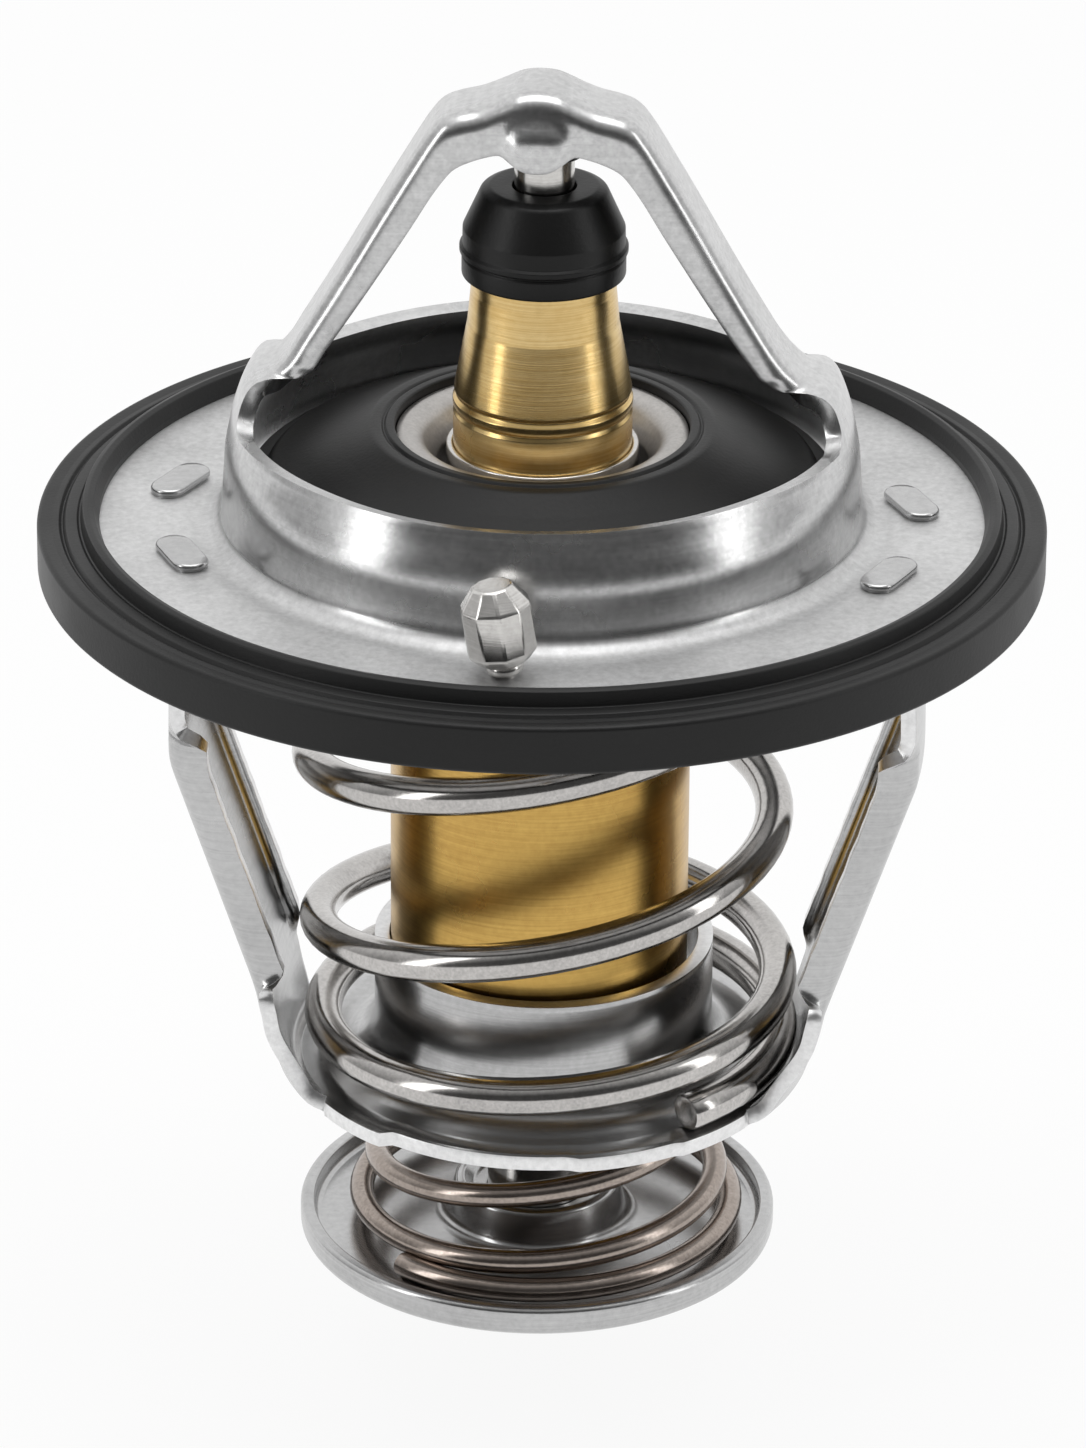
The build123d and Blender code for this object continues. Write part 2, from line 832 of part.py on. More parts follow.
def main_spring():
    """Spring between the lower frame's seat and the valve's plate, standing a little askew."""
    middle = main_spring_radius - main_wire / 2
    low = seat_z + main_wire / 2 + spring_seat_gap
    high = plate_bottom - main_wire / 2 - spring_seat_gap
    return wound_wire(main_wire, main_turns, main_start_angle, (low, high), main_closed_pitch,
                      (main_closing, main_opening), (middle, middle), main_lean, main_bow)


def bypass_spring():
    """Conical spring between the cup's bottom and the bypass disc."""
    wide = dish_radius - dish_sheet - bypass_rim_gap - bypass_wire / 2
    narrow = cup_radius - bypass_top_inset - bypass_wire / 2
    low = dish_sheet + bypass_wire / 2 + spring_seat_gap
    high = cup_bottom - bypass_wire / 2 - spring_seat_gap
    return wound_wire(bypass_wire, bypass_turns, bypass_start_angle, (low, high), bypass_closed_pitch,
                      (bypass_closing, bypass_opening), (wide, narrow), bypass_lean, 0)


def bypass_disc_line():
    """Upper side of the bypass disc's section, from its rim to the hub's throat."""
    return [
        (dish_radius - dish_sheet, dish_rim_height),
        (dish_radius - dish_sheet, dish_sheet),
        (hub_radius, dish_sheet),
        (hub_top_radius, hub_height),
        (rod_radius + rod_running_clearance, throat_z),
    ]


def bypass_disc():
    """Dished disc that closes the bypass port, with a raised hub that runs on the rod."""
    radii = [0, dish_corner_fillet, hub_foot_fillet, hub_crest_fillet, 0]
    return drawn_sheet(bypass_disc_line(), radii, dish_sheet)


def clip_bottom():
    """Height of the clip's underside, so that the hub's throat rests on the clip."""
    (crest_x, crest_z), (throat_x, throat_end) = bypass_disc_line()[-2:]
    run = crest_x - throat_x
    drop = crest_z - throat_end
    lowest = throat_end - dish_sheet * run / hypot(run, drop)
    return lowest - clip_thickness - assembly_clearance


def bypass_rod():
    """Rod set in the cup's bottom, which carries the bypass disc."""
    end = clip_bottom() - rod_tail
    shoulder = cup_bottom - assembly_clearance
    tenon_top = shoulder + tenon_height
    rod = revolved(
        [
            (0, end),
            (rod_radius, end),
            (rod_radius, shoulder),
            (tenon_radius, shoulder),
            (tenon_radius, tenon_top),
            (0, tenon_top),
        ],
        [0, rod_edge_round, 0, 0, 0, 0],
    )
    ring = Circle(2 * rod_radius) - Circle(rod_radius - clip_groove_depth)
    groove = extrude(ring, clip_thickness + 2 * assembly_clearance)
    return rod - Pos(0, 0, clip_bottom() - assembly_clearance) * groove


def rod_clip():
    """Open ring in the rod's groove, which keeps the bypass disc on the rod."""
    inner = rod_radius - clip_groove_depth + press_clearance
    ring = extrude(Circle(clip_radius) - Circle(inner), clip_thickness)
    gap = Box(clip_radius, clip_opening, clip_thickness, align=(Align.MIN, Align.CENTER, Align.MIN))
    return Pos(0, 0, clip_bottom()) * (ring - Rot(0, 0, jiggle_angle) * gap)


def jiggle_frame():
    """Placement of the jiggle pin: Z runs up its leaning axis from the flange's upper face."""
    lift = jiggle_collar_radius * sin(radians(jiggle_lean)) + assembly_clearance
    place = Rot(0, 0, jiggle_angle) * Pos(jiggle_circle_radius, 0, flange_top + lift)
    return place * Rot(jiggle_lean, 0, 0)


def jiggle_pin():
    """Pin through the flange: a rounded collar above it and a valve head below it."""
    head_top = -sheet - 2 * jiggle_head_radius * sin(radians(jiggle_lean)) - jiggle_travel
    head_bottom = head_top - jiggle_head_height
    stem_top = jiggle_collar_height + weight_bore_depth
    pin = revolved(
        [
            (0, head_bottom),
            (jiggle_head_radius - jiggle_head_cone, head_bottom),
            (jiggle_head_radius, head_top - jiggle_head_cone - jiggle_head_band),
            (jiggle_head_radius, head_top - jiggle_head_cone),
            (jiggle_shank_radius, head_top),
            (jiggle_shank_radius, 0),
            (jiggle_collar_radius, 0),
            (jiggle_collar_radius, jiggle_collar_height),
            (jiggle_stem_radius, jiggle_collar_height),
            (jiggle_stem_radius, stem_top),
            (0, stem_top),
        ],
        [0, jiggle_head_round, 0, 0, 0, 0, jiggle_collar_round, jiggle_collar_round, 0, 0, 0],
    )
    return jiggle_frame() * pin


def jiggle_weight():
    """Faceted weight crimped on the pin's upper end."""
    body_top = weight_foot_height + weight_body_height
    height = body_top + weight_top_height
    turned = revolved([
        (0, 0),
        (weight_foot_radius, 0),
        (weight_radius, weight_foot_height),
        (weight_radius, body_top),
        (weight_top_radius, height),
        (0, height),
    ])
    across = weight_radius * cos(pi / weight_facets) + weight_flat_relief
    flats = extrude(RegularPolygon(across, weight_facets, major_radius=False), height)
    bore = extrude(Circle(jiggle_stem_radius + press_clearance), weight_bore_depth + assembly_clearance)
    seat = Pos(0, 0, jiggle_collar_height + assembly_clearance)
    return jiggle_frame() * seat * ((turned & flats) - bore)


parts = {
    "bridge_flange": bridge_flange,
    "seat_seal": seat_seal,
    "lower_frame": lower_frame,
    "piston": piston,
    "guide": guide,
    "piston_ring": piston_ring,
    "boot": boot,
    "wax_cup": wax_cup,
    "wax_charge": wax_charge,
    "diaphragm": diaphragm,
    "transfer_plug": transfer_plug,
    "anti_extrusion_disc": anti_extrusion_disc,
    "valve_plate": valve_plate,
    "valve_seal": valve_seal,
    "valve_washer": valve_washer,
    "retaining_sleeve": retaining_sleeve,
    "main_spring": main_spring,
    "bypass_spring": bypass_spring,
    "bypass_disc": bypass_disc,
    "bypass_rod": bypass_rod,
    "rod_clip": rod_clip,
    "jiggle_pin": jiggle_pin,
    "jiggle_weight": jiggle_weight,
}

os.makedirs("parts", exist_ok=True)
for name, make in parts.items():
    export_step(make(), f"parts/{name}.step")
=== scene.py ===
import json
import math

import bmesh
import bpy
from mathutils import Euler, Matrix, Vector, noise


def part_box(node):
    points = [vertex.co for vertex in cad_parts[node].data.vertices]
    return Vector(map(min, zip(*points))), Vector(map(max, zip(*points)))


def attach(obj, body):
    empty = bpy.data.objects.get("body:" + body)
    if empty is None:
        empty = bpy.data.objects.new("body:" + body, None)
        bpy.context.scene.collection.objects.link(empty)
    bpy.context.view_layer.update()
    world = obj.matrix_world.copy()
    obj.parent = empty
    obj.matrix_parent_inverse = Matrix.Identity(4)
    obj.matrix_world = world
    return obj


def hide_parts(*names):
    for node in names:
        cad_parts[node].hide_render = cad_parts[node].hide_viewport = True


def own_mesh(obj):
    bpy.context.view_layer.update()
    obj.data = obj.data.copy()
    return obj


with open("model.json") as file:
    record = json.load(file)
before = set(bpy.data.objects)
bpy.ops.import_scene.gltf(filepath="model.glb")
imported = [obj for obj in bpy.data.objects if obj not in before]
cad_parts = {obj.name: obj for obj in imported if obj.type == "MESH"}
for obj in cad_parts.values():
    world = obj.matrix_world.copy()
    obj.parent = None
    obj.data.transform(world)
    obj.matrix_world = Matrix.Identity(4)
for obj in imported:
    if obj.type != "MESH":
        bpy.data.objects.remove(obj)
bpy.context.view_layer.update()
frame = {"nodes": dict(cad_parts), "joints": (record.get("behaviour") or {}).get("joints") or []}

# A wax-element coolant valve, dressed over its solids.
# Lengths here are in millimetres and angles in degrees, and MM turns them to the frame's metres.
# The bridge's arms and the lower frame's legs lie along X, and the jiggle pin is on the -Y side.
MM = 0.001
NODES = frame["nodes"]


def mm_box(node):
    """Lowest and highest corner of a solid, in millimetres."""
    low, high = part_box(node)
    return [c / MM for c in low], [c / MM for c in high]


# Heights and radii that the dressed pieces take from the solids
SEAL_LOW, SEAL_HIGH = mm_box("seat_seal")
CUP_LOW, CUP_HIGH = mm_box("wax_cup")
BOOT_LOW, BOOT_HIGH = mm_box("boot")
PLATE_LOW, PLATE_HIGH = mm_box("valve_plate")
PISTON_LOW, PISTON_HIGH = mm_box("piston")
GUIDE_TOP = mm_box("guide")[1][2]
DISC_RADIUS = mm_box("bypass_disc")[1][0]
ROD_BOTTOM = mm_box("bypass_rod")[0][2]
FLANGE_RADIUS = mm_box("bridge_flange")[1][0]
SEAL_RADIUS = SEAL_HIGH[0]
CUP_RADIUS = CUP_HIGH[0]
PISTON_RADIUS = PISTON_HIGH[0]
PLATE_TOP = PLATE_HIGH[2]

# Sheet thicknesses, radii that were measured in the photo, and the joints' travels
SHEET = 1.0
FRAME_SHEET = 0.9
DISC_SHEET = 0.9
LEG_RADIUS = 22.55
RIM_RADIUS = 15.1
GUIDE_RADIUS = 5.31
VALVE_TRAVEL = 8.0

# Heights that follow: the seal's rib stands on the flange, and the cup hangs above the spring's seat
SEAL_RIB_HEIGHT = 1.25
SILL_HEIGHT = 6.7
CUP_ABOVE_SEAT = 1.9
FLANGE_TOP = SEAL_HIGH[2] - SEAL_RIB_HEIGHT
SILL = FLANGE_TOP + SILL_HEIGHT
FLANGE_UNDERSIDE = FLANGE_TOP - SHEET
SEAT = CUP_LOW[2] - CUP_ABOVE_SEAT
JIGGLE_AXIS = Vector(next(j["axis"] for j in frame["joints"] if j["name"] == "jiggle_lift"))


# Colour and shading nodes

def hex_colour(code):
    """An sRGB hex colour as a linear RGBA value."""
    channels = [int(code[i:i + 2], 16) / 255 for i in (0, 2, 4)]
    linear = [c / 12.92 if c <= 0.04045 else ((c + 0.055) / 1.055) ** 2.4 for c in channels]
    return (*linear, 1.0)


def add_node(tree, kind, inputs=None, **settings):
    """A shader node with its settings, whose inputs are values or (node, output) links."""
    node = tree.nodes.new(kind)
    for key, value in settings.items():
        setattr(node, key, value)
    for key, value in (inputs or {}).items():
        if isinstance(value, tuple) and isinstance(value[0], bpy.types.Node):
            tree.links.new(value[0].outputs[value[1]], node.inputs[key])
        else:
            node.inputs[key].default_value = value
    return node


def new_material(name):
    """An empty material, its node tree and its shader."""
    material = bpy.data.materials.new(name)
    material.use_nodes = True
    tree = material.node_tree
    tree.nodes.clear()
    shader = add_node(tree, "ShaderNodeBsdfPrincipled")
    output = add_node(tree, "ShaderNodeOutputMaterial")
    tree.links.new(shader.outputs["BSDF"], output.inputs["Surface"])
    return material, tree, shader


def metal(name, dark, light, rough, grain, direction, grain_depth, patches=0.5, dull_below=None):
    """Metal with fine drawn or turned lines, their pitch grain in millimetres across direction.

    Below the height dull_below it is a matt sheet instead.
    """
    material, tree, shader = new_material(name)
    place = add_node(tree, "ShaderNodeTexCoord")
    lines_scale = [1 / (MM * grain) if d else 1 / (MM * grain * 60) for d in direction]
    lines_map = add_node(tree, "ShaderNodeMapping", {0: (place, "Object"), "Scale": lines_scale})
    lines = add_node(tree, "ShaderNodeTexNoise", {"Vector": (lines_map, 0), "Scale": 1.0, "Detail": 3.0})
    spots = add_node(tree, "ShaderNodeTexNoise",
                     {"Vector": (place, "Object"), "Scale": 2.2 / MM, "Detail": 5.0, "Roughness": 0.65})
    clouds = add_node(tree, "ShaderNodeTexNoise",
                      {"Vector": (place, "Object"), "Scale": 0.15 / MM, "Detail": 4.0})
    blend = add_node(tree, "ShaderNodeMix", {0: patches, 2: (lines, 0), 3: (spots, 0)}, data_type="FLOAT")
    tone = add_node(tree, "ShaderNodeMix", {0: 0.35, 2: (blend, 0), 3: (clouds, 0)}, data_type="FLOAT")
    spread_tone = add_node(tree, "ShaderNodeMapRange", {0: (tone, 0), 1: 0.3, 2: 0.7, 3: 0.0, 4: 1.0})
    colour = add_node(tree, "ShaderNodeMix",
                      {0: (spread_tone, 0), 6: hex_colour(dark), 7: hex_colour(light)}, data_type="RGBA")
    tree.links.new(colour.outputs[2], shader.inputs["Base Color"])
    shader.inputs["Metallic"].default_value = 1.0
    spread = add_node(tree, "ShaderNodeMapRange",
                      {0: (clouds, 0), 1: 0.3, 2: 0.7, 3: rough * 0.85, 4: rough * 1.2})
    roughness = spread
    if dull_below is not None:
        height = add_node(tree, "ShaderNodeSeparateXYZ", {0: (place, "Object")})
        raised = add_node(tree, "ShaderNodeMapRange", {0: (height, 2), 1: dull_below * MM,
                                                       2: (dull_below + 1.0) * MM, 3: 0.52, 4: 0.0})
        roughness = add_node(tree, "ShaderNodeMath", {0: (spread, 0), 1: (raised, 0)}, operation="MAXIMUM")
    tree.links.new(roughness.outputs[0], shader.inputs["Roughness"])
    bump = add_node(tree, "ShaderNodeBump", {"Height": (blend, 0), "Distance": grain_depth * MM,
                                             "Strength": 1.0})
    tree.links.new(bump.outputs[0], shader.inputs["Normal"])
    return material


def moulded(name, colour, rough, level=0.3):
    """Rubber, wax or plastic, with a soft sheen that a mould's fine grain breaks up."""
    material, tree, shader = new_material(name)
    place = add_node(tree, "ShaderNodeTexCoord")
    grain = add_node(tree, "ShaderNodeTexNoise",
                     {"Vector": (place, "Object"), "Scale": 4.0 / MM, "Detail": 4.0})
    clouds = add_node(tree, "ShaderNodeTexNoise",
                      {"Vector": (place, "Object"), "Scale": 0.12 / MM, "Detail": 4.0})
    shader.inputs["Base Color"].default_value = hex_colour(colour)
    shader.inputs["IOR"].default_value = 1.5
    shader.inputs["Specular IOR Level"].default_value = level
    spread = add_node(tree, "ShaderNodeMapRange",
                      {0: (clouds, 0), 1: 0.3, 2: 0.7, 3: rough * 0.88, 4: rough * 1.12})
    tree.links.new(spread.outputs[0], shader.inputs["Roughness"])
    bump = add_node(tree, "ShaderNodeBump", {"Height": (grain, 0), "Distance": 0.02 * MM, "Strength": 0.6})
    tree.links.new(bump.outputs[0], shader.inputs["Normal"])
    return material


# Deep-drawn stainless sheet: a silvery satin, matt where the flange's plate was left as rolled.
DRAWN_STEEL = metal("drawn stainless sheet", "b0b0b0", "dedede", 0.26, 0.12, (0, 0, 1), 0.0025, 0.75,
                    dull_below=FLANGE_TOP + 0.15)
# The lower frame's sheet, pressed and tumbled: a shade darker.
PRESSED_STEEL = metal("pressed stainless sheet", "a6a6a6", "cccccc", 0.23, 0.15, (0, 0, 1), 0.0025, 0.5)
# Cold-drawn wire: grey and glossy for the large spring, browned for the small one.
SPRING_WIRE = metal("drawn spring wire", "a09e9c", "d0cdca", 0.15, 0.2, (1, 1, 1), 0.002)
SMALL_SPRING_WIRE = metal("browned spring wire", "857a72", "b5aaa2", 0.2, 0.2, (1, 1, 1), 0.002)
# Ground and turned steel: bright, with fine rings round the axis.
TURNED_STEEL = metal("turned steel", "b3b1ae", "e2e0dd", 0.2, 0.08, (0, 0, 1), 0.003)
# The lower frame's sheared edges: torn and bare, and painted near white as a highlight glinting along
# them.
SHEARED_EDGE_AND_GLINT = metal("sheared edge", "cfcfcf", "fbfbfb", 0.33, 0.3, (1, 1, 1), 0.012, 0.7)
# Zinc-dull washer steel.
WASHER_STEEL = metal("dull washer steel", "a19e9b", "c8c5c2", 0.38, 0.2, (1, 1, 1), 0.004)
# Turned brass: pale warm gold, with fine rings round the axis.
TURNED_BRASS = metal("turned brass", "c39f5c", "ebd199", 0.25, 0.1, (0, 0, 1), 0.004, 0.3)
# Drawn brass cup: browner, brushed in fine lines round its wall.
DRAWN_BRASS = metal("drawn brass", "ad8748", "dbb668", 0.28, 0.14, (0, 0, 1), 0.005, 0.4)
# Moulded rubber, near black
SEAL_RUBBER = moulded("moulded rubber seal", "191919", 0.45)
VALVE_RUBBER = moulded("moulded rubber facing", "141414", 0.42)
BOOT_RUBBER = moulded("moulded rubber boot", "131313", 0.4)
# Wax and hard disc inside the element
WAX = moulded("cast wax", "c8a878", 0.6, 0.5)
HARD_DISC = moulded("turned fluorocarbon plastic", "e4e4dd", 0.5, 0.5)


# Outlines

def rounded(corners, steps=5):
    """The outline through (x, y) or (x, y, radius) corners, each radius drawn as an arc."""
    line = []
    last = len(corners) - 1
    for i, corner in enumerate(corners):
        here = Vector(corner[:2])
        radius = corner[2] if len(corner) > 2 else 0
        if not radius or i in (0, last):
            line.append(here)
            continue
        before = (Vector(corners[i - 1][:2]) - here).normalized()
        after = (Vector(corners[i + 1][:2]) - here).normalized()
        half = before.angle(after) / 2
        reach = radius / math.tan(half)
        centre = here + (before + after).normalized() * (radius / math.sin(half))
        start = here + before * reach - centre
        end = here + after * reach - centre
        turn = start.angle(end)
        sense = 1 if start.x * end.y - start.y * end.x > 0 else -1
        for k in range(steps + 1):
            angle = sense * turn * k / steps
            c, s = math.cos(angle), math.sin(angle)
            line.append(centre + Vector((start.x * c - start.y * s, start.x * s + start.y * c)))
    return line


def lengths_along(line):
    """Running length at each point of a line."""
    total = [0.0]
    for a, b in zip(line, line[1:]):
        total.append(total[-1] + (b - a).length)
    return total


def resampled(line, spacing):
    """A line's points at about an even spacing, its ends kept."""
    total = lengths_along(line)
    count = max(round(total[-1] / spacing), 2)
    points = []
    k = 0
    for i in range(count + 1):
        at = total[-1] * i / count
        while k < len(line) - 2 and total[k + 1] < at:
            k += 1
        share = (at - total[k]) / max(total[k + 1] - total[k], 1e-9)
        points.append(line[k].lerp(line[k + 1], share))
    return points


def smooth_step(x, low, high):
    """0 below low, 1 above high, and a smooth rise between."""
    t = min(max((x - low) / (high - low), 0.0), 1.0)
    return t * t * (3 - 2 * t)


# Pieces

def new_piece(name, build, body, material, nodes, crease=35, bevel=0.0, solid=0.0, cut=None):
    """A shown piece made from a bmesh in millimetres, which rides on a body and stands for solids.

    With solid, the bmesh is a sheet's outer face, and cut is the finish of the sheet's cut edges.
    """
    mesh = bpy.data.meshes.new(name)
    bmesh.ops.scale(build, vec=(MM, MM, MM), verts=build.verts)
    build.normal_update()
    for edge in build.edges:
        if len(edge.link_faces) == 2:
            edge.smooth = edge.calc_face_angle(0) < math.radians(crease)
    for face in build.faces:
        face.smooth = True
    build.to_mesh(mesh)
    build.free()
    piece = bpy.data.objects.new(name, mesh)
    bpy.context.scene.collection.objects.link(piece)
    piece.data.materials.append(material)
    if solid:
        shell = piece.modifiers.new("sheet", "SOLIDIFY")
        shell.thickness = solid * MM
        shell.offset = -1
        shell.use_even_offset = False
        piece.data.materials.append(cut)
        shell.material_offset_rim = 1
    if bevel:
        edge_round = piece.modifiers.new("edges", "BEVEL")
        edge_round.width = bevel * MM
        edge_round.segments = 2
        edge_round.limit_method = "ANGLE"
        edge_round.angle_limit = math.radians(50)
    weigh = piece.modifiers.new("normals", "WEIGHTED_NORMAL")
    weigh.keep_sharp = True
    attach(piece, body)
    if nodes:
        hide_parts(*nodes)
    return piece


def turned(outline, segments=192, place=None):
    """A bmesh turned about Z from a closed outline of (radius, height) points."""
    build = bmesh.new()
    rings = []
    for r, z in outline:
        if r < 1e-6:
            rings.append([build.verts.new((0, 0, z))] * segments)
            continue
        ring = []
        for i in range(segments):
            a = 2 * math.pi * i / segments
            ring.append(build.verts.new((r * math.cos(a), r * math.sin(a), z)))
        rings.append(ring)
    for low, high in zip(rings, rings[1:] + rings[:1]):
        for i in range(segments):
            j = (i + 1) % segments
            corners = [low[i], low[j], high[j], high[i]]
            corners = [v for k, v in enumerate(corners) if v not in corners[:k]]
            if len(corners) > 2:
                build.faces.new(corners)
    bmesh.ops.recalc_face_normals(build, faces=build.faces)
    if place:
        build.transform(place)
    return build


def grid_faces(build, rows):
    """Joins rows of vertices with quads, skipping the gaps marked None."""
    for low, high in zip(rows, rows[1:]):
        for a, b, c, d in zip(low, low[1:], high[1:], high):
            if None not in (a, b, c, d):
                build.faces.new((a, b, c, d))


def bent_section(half_length, step_count, heading):
    """Points of half a cross-section, (across, inwards), whose heading is a function of length."""
    points = [(0.0, 0.0)]
    across, inwards = 0.0, 0.0
    substeps = 6
    step = half_length / step_count / substeps
    for i in range(step_count * substeps):
        angle = heading((i + 0.5) * step)
        across += math.cos(angle) * step
        inwards += math.sin(angle) * step
        if (i + 1) % substeps == 0:
            points.append((across, inwards))
    return points


def smooth_through(stations, spacing):
    """Rows of values on a smooth curve through the stations, whose first two values are a place."""
    rows = []
    for i in range(len(stations) - 1):
        a = stations[max(i - 1, 0)]
        b, c = stations[i], stations[i + 1]
        d = stations[min(i + 2, len(stations) - 1)]
        count = max(round(math.dist(b[:2], c[:2]) / spacing), 1)
        for k in range(count):
            t = k / count
            rows.append([
                q + 0.5 * t * (r - p + t * (2 * p - 5 * q + 4 * r - s + t * (3 * (q - r) + s - p)))
                for p, q, r, s in zip(a, b, c, d)
            ])
    rows.append(list(stations[-1]))
    return rows


# Upper stamping

ARM_HALF_WIDTH = 2.9
ARM_BEND = 1.15
# Outer line of the flange and collar in radius and height, from the rim to the windows' sill
COLLAR_LINE = [
    (FLANGE_RADIUS - 0.05, FLANGE_TOP),
    (21.2, FLANGE_TOP, 3.0),
    (20.4, FLANGE_TOP - 0.12, 1.5),
    (19.75, FLANGE_TOP, 0.8),
    (19.1, FLANGE_TOP + 0.45, 0.8),
    (18.93, 50.5, 3.0),
    (18.8, 52.5, 6.0),
    (18.4, SILL),
]
# Stations of half the bridge: X and Z of the outer face's middle, X and Z of the side's cut edge,
# half the width, and how far the sides are folded in
BRIDGE_STATIONS = [
    (18.40, SILL, 17.6, SILL, 5.2, 0),
    (18.22, 55.1, 17.4, 55.1, 4.05, 0),
    (17.90, 56.0, 17.1, 56.0, 3.6, 0),
    (17.50, 56.75, 16.8, 56.75, 3.4, 0),
    (17.00, 57.25, 16.3, 57.1, 3.3, 0.08),
    (16.40, 57.5, 15.4, 57.2, 3.1, 0.4),
    (15.80, 57.7, 14.4, 57.25, 2.95, 0.8),
    (15.15, 58.2, 13.5, 57.75, 2.9, 1),
    (14.25, 59.4, 12.5, 59.0, 2.9, 1),
    (11.80, 63.5, 10.05, 62.75, 2.9, 1),
    (9.42, 67.7, 7.55, 66.75, 2.9, 1),
    (8.09, 70.0, 6.15, 69.1, 2.9, 1),
    (6.62, 72.45, 5.2, 70.45, 2.9, 1),
    (5.70, 73.55, 4.65, 70.95, 2.9, 1),
    (4.70, 74.0, 3.95, 71.3, 2.9, 1),
    (3.50, 74.3, 3.1, 71.6, 2.9, 1),
    (2.30, 74.78, 2.2, 71.75, 2.9, 1),
    (1.30, 75.25, 1.3, 71.3, 2.9, 1),
    (0.60, 75.42, 0.6, 71.0, 2.9, 1),
    (0.00, 75.45, 0.0, 70.95, 2.9, 1),
]


def crown_swell(x, depth):
    """How far the crown's sides swell round the piston's boss, with a crease at either side."""
    boss = 0.75 * math.exp(-(x / 1.75)**4) * smooth_step(depth, 1.0, 2.7)
    crease = 0.08 * math.exp(-((abs(x) - 2.25) / 0.3)**2) * smooth_step(depth, 1.6, 2.4)
    return boss - crease


def arm_section(station, columns):
    """Half of the bridge's cross-section at a station, from the middle of its face to its cut edge."""
    x, z, edge_x, edge_z, half_width, fold = station
    side = Vector((edge_x - x, edge_z - z))
    inward = Vector((-1, 0)).lerp(side.normalized(), fold).normalized()
    flat = ARM_HALF_WIDTH - ARM_BEND
    bend = ARM_BEND * math.pi / 2
    length = flat + bend + max(side.length - ARM_BEND, 0.1)
    channel = bent_section(length, columns,
                           lambda at: math.pi / 2 * min(max((at - flat) / bend, 0.0), 1.0))
    points = []
    for k, (across, depth) in enumerate(channel):
        angle = math.asin(half_width / x) * k / columns if fold < 1 else 0.0
        round_across, round_depth = x * math.sin(angle), x * (1 - math.cos(angle))
        across = round_across + (across - round_across) * fold
        depth = round_depth + (depth - round_depth) * fold
        across += crown_swell(x, depth) if fold >= 1 else 0.0
        points.append((x + inward.x * depth, across, z + inward.y * depth))
    return points


def upper_half(build, side):
    """One half of the flange, collar and bridge, as rows of vertices from the rim to the crown."""
    arm_columns = 16
    ring_columns = 60
    sill_angle = math.asin(BRIDGE_STATIONS[0][4] / BRIDGE_STATIONS[0][0])
    rows = []
    for radius, z in resampled(rounded(COLLAR_LINE, 8), 0.42):
        row = []
        for k in range(-ring_columns, ring_columns + 1):
            if abs(k) <= arm_columns:
                angle = sill_angle * k / arm_columns
            else:
                share = (abs(k) - arm_columns) / (ring_columns - arm_columns)
                angle = math.copysign(sill_angle + (math.pi / 2 - sill_angle) * share, k)
            drawn_in = 0.6 * smooth_step(z, 51.0, SILL) * smooth_step(abs(angle), 0.25, 0.9)
            r = side * (radius - drawn_in)
            row.append(build.verts.new((r * math.cos(angle), r * math.sin(angle), z)))
        rows.append(row)
    for station in smooth_through(BRIDGE_STATIONS, 0.28)[1:]:
        half = arm_section(station, arm_columns)
        lean = -0.3 * smooth_step(station[1], 56.5, 60.0)
        row = []
        for k in range(-ring_columns, ring_columns + 1):
            if abs(k) > arm_columns:
                row.append(None)
                continue
            x, y, z = half[abs(k)]
            row.append(build.verts.new((side * x + lean, side * math.copysign(y, k), z)))
        rows.append(row)
    grid_faces(build, rows)


def upper_stamping():
    """Flange, collar and channelled bridge, drawn from one sheet."""
    build = bmesh.new()
    upper_half(build, 1)
    upper_half(build, -1)
    bmesh.ops.remove_doubles(build, verts=build.verts, dist=0.02)
    bmesh.ops.recalc_face_normals(build, faces=build.faces)
    outward = max(build.faces, key=lambda f: f.calc_center_median().z)
    if outward.normal.z < 0:
        bmesh.ops.reverse_faces(build, faces=build.faces)
    return new_piece("bridge_and_flange", build, "frame", DRAWN_STEEL,
                     ["bridge_flange"], crease=60, bevel=0.13, solid=SHEET, cut=DRAWN_STEEL)


def crown_boss():
    """Boss pressed down in the crown round the piston's top."""
    bore = PISTON_RADIUS + 0.02
    bottom = 71.0
    top = bottom + 3.2
    outline = rounded([
        (bore, bottom),
        (2.5, bottom, 0.45),
        (2.75, bottom + 1.0, 0.4),
        (2.75, top, 0.8),
        (bore, top),
    ])
    return new_piece("crown_boss", turned(outline, 96), "frame", DRAWN_STEEL, None)


# Lower frame

# Outer line of the frame in radius and height, down the middle of a leg and in to the neck
UNDER_LINE = [
    (22.5, FLANGE_UNDERSIDE),
    (22.65, 34.0, 4.5),
    (17.35, 18.2, 7.0),
    (15.95, 10.3, 1.8),
    (13.73, SEAT - FRAME_SHEET, 0.3),
    (9.4, SEAT - FRAME_SHEET, 3.5),
    (9.4, SEAT + 7.6),
]
# A leg is a nearly flat strip that lies a little to the front, and the base sits a little to the right
LEG_MIDDLE = -1.25
LEG_HALF_WIDTH = 6.65
BASE_SHIFT = 0.3


def rim_radius(angle):
    """Radius of the base's sheared rim, which steps in and out between the legs."""
    turn = math.degrees(angle) % 180
    steps = [(31, 15.3), (54, 14.55), (100, 14.9), (126, 15.15), (149, 14.5)]
    value = RIM_RADIUS
    for start, radius in steps:
        value += (radius - value) * smooth_step(turn, start - 1.5, start + 1.5)
    return value


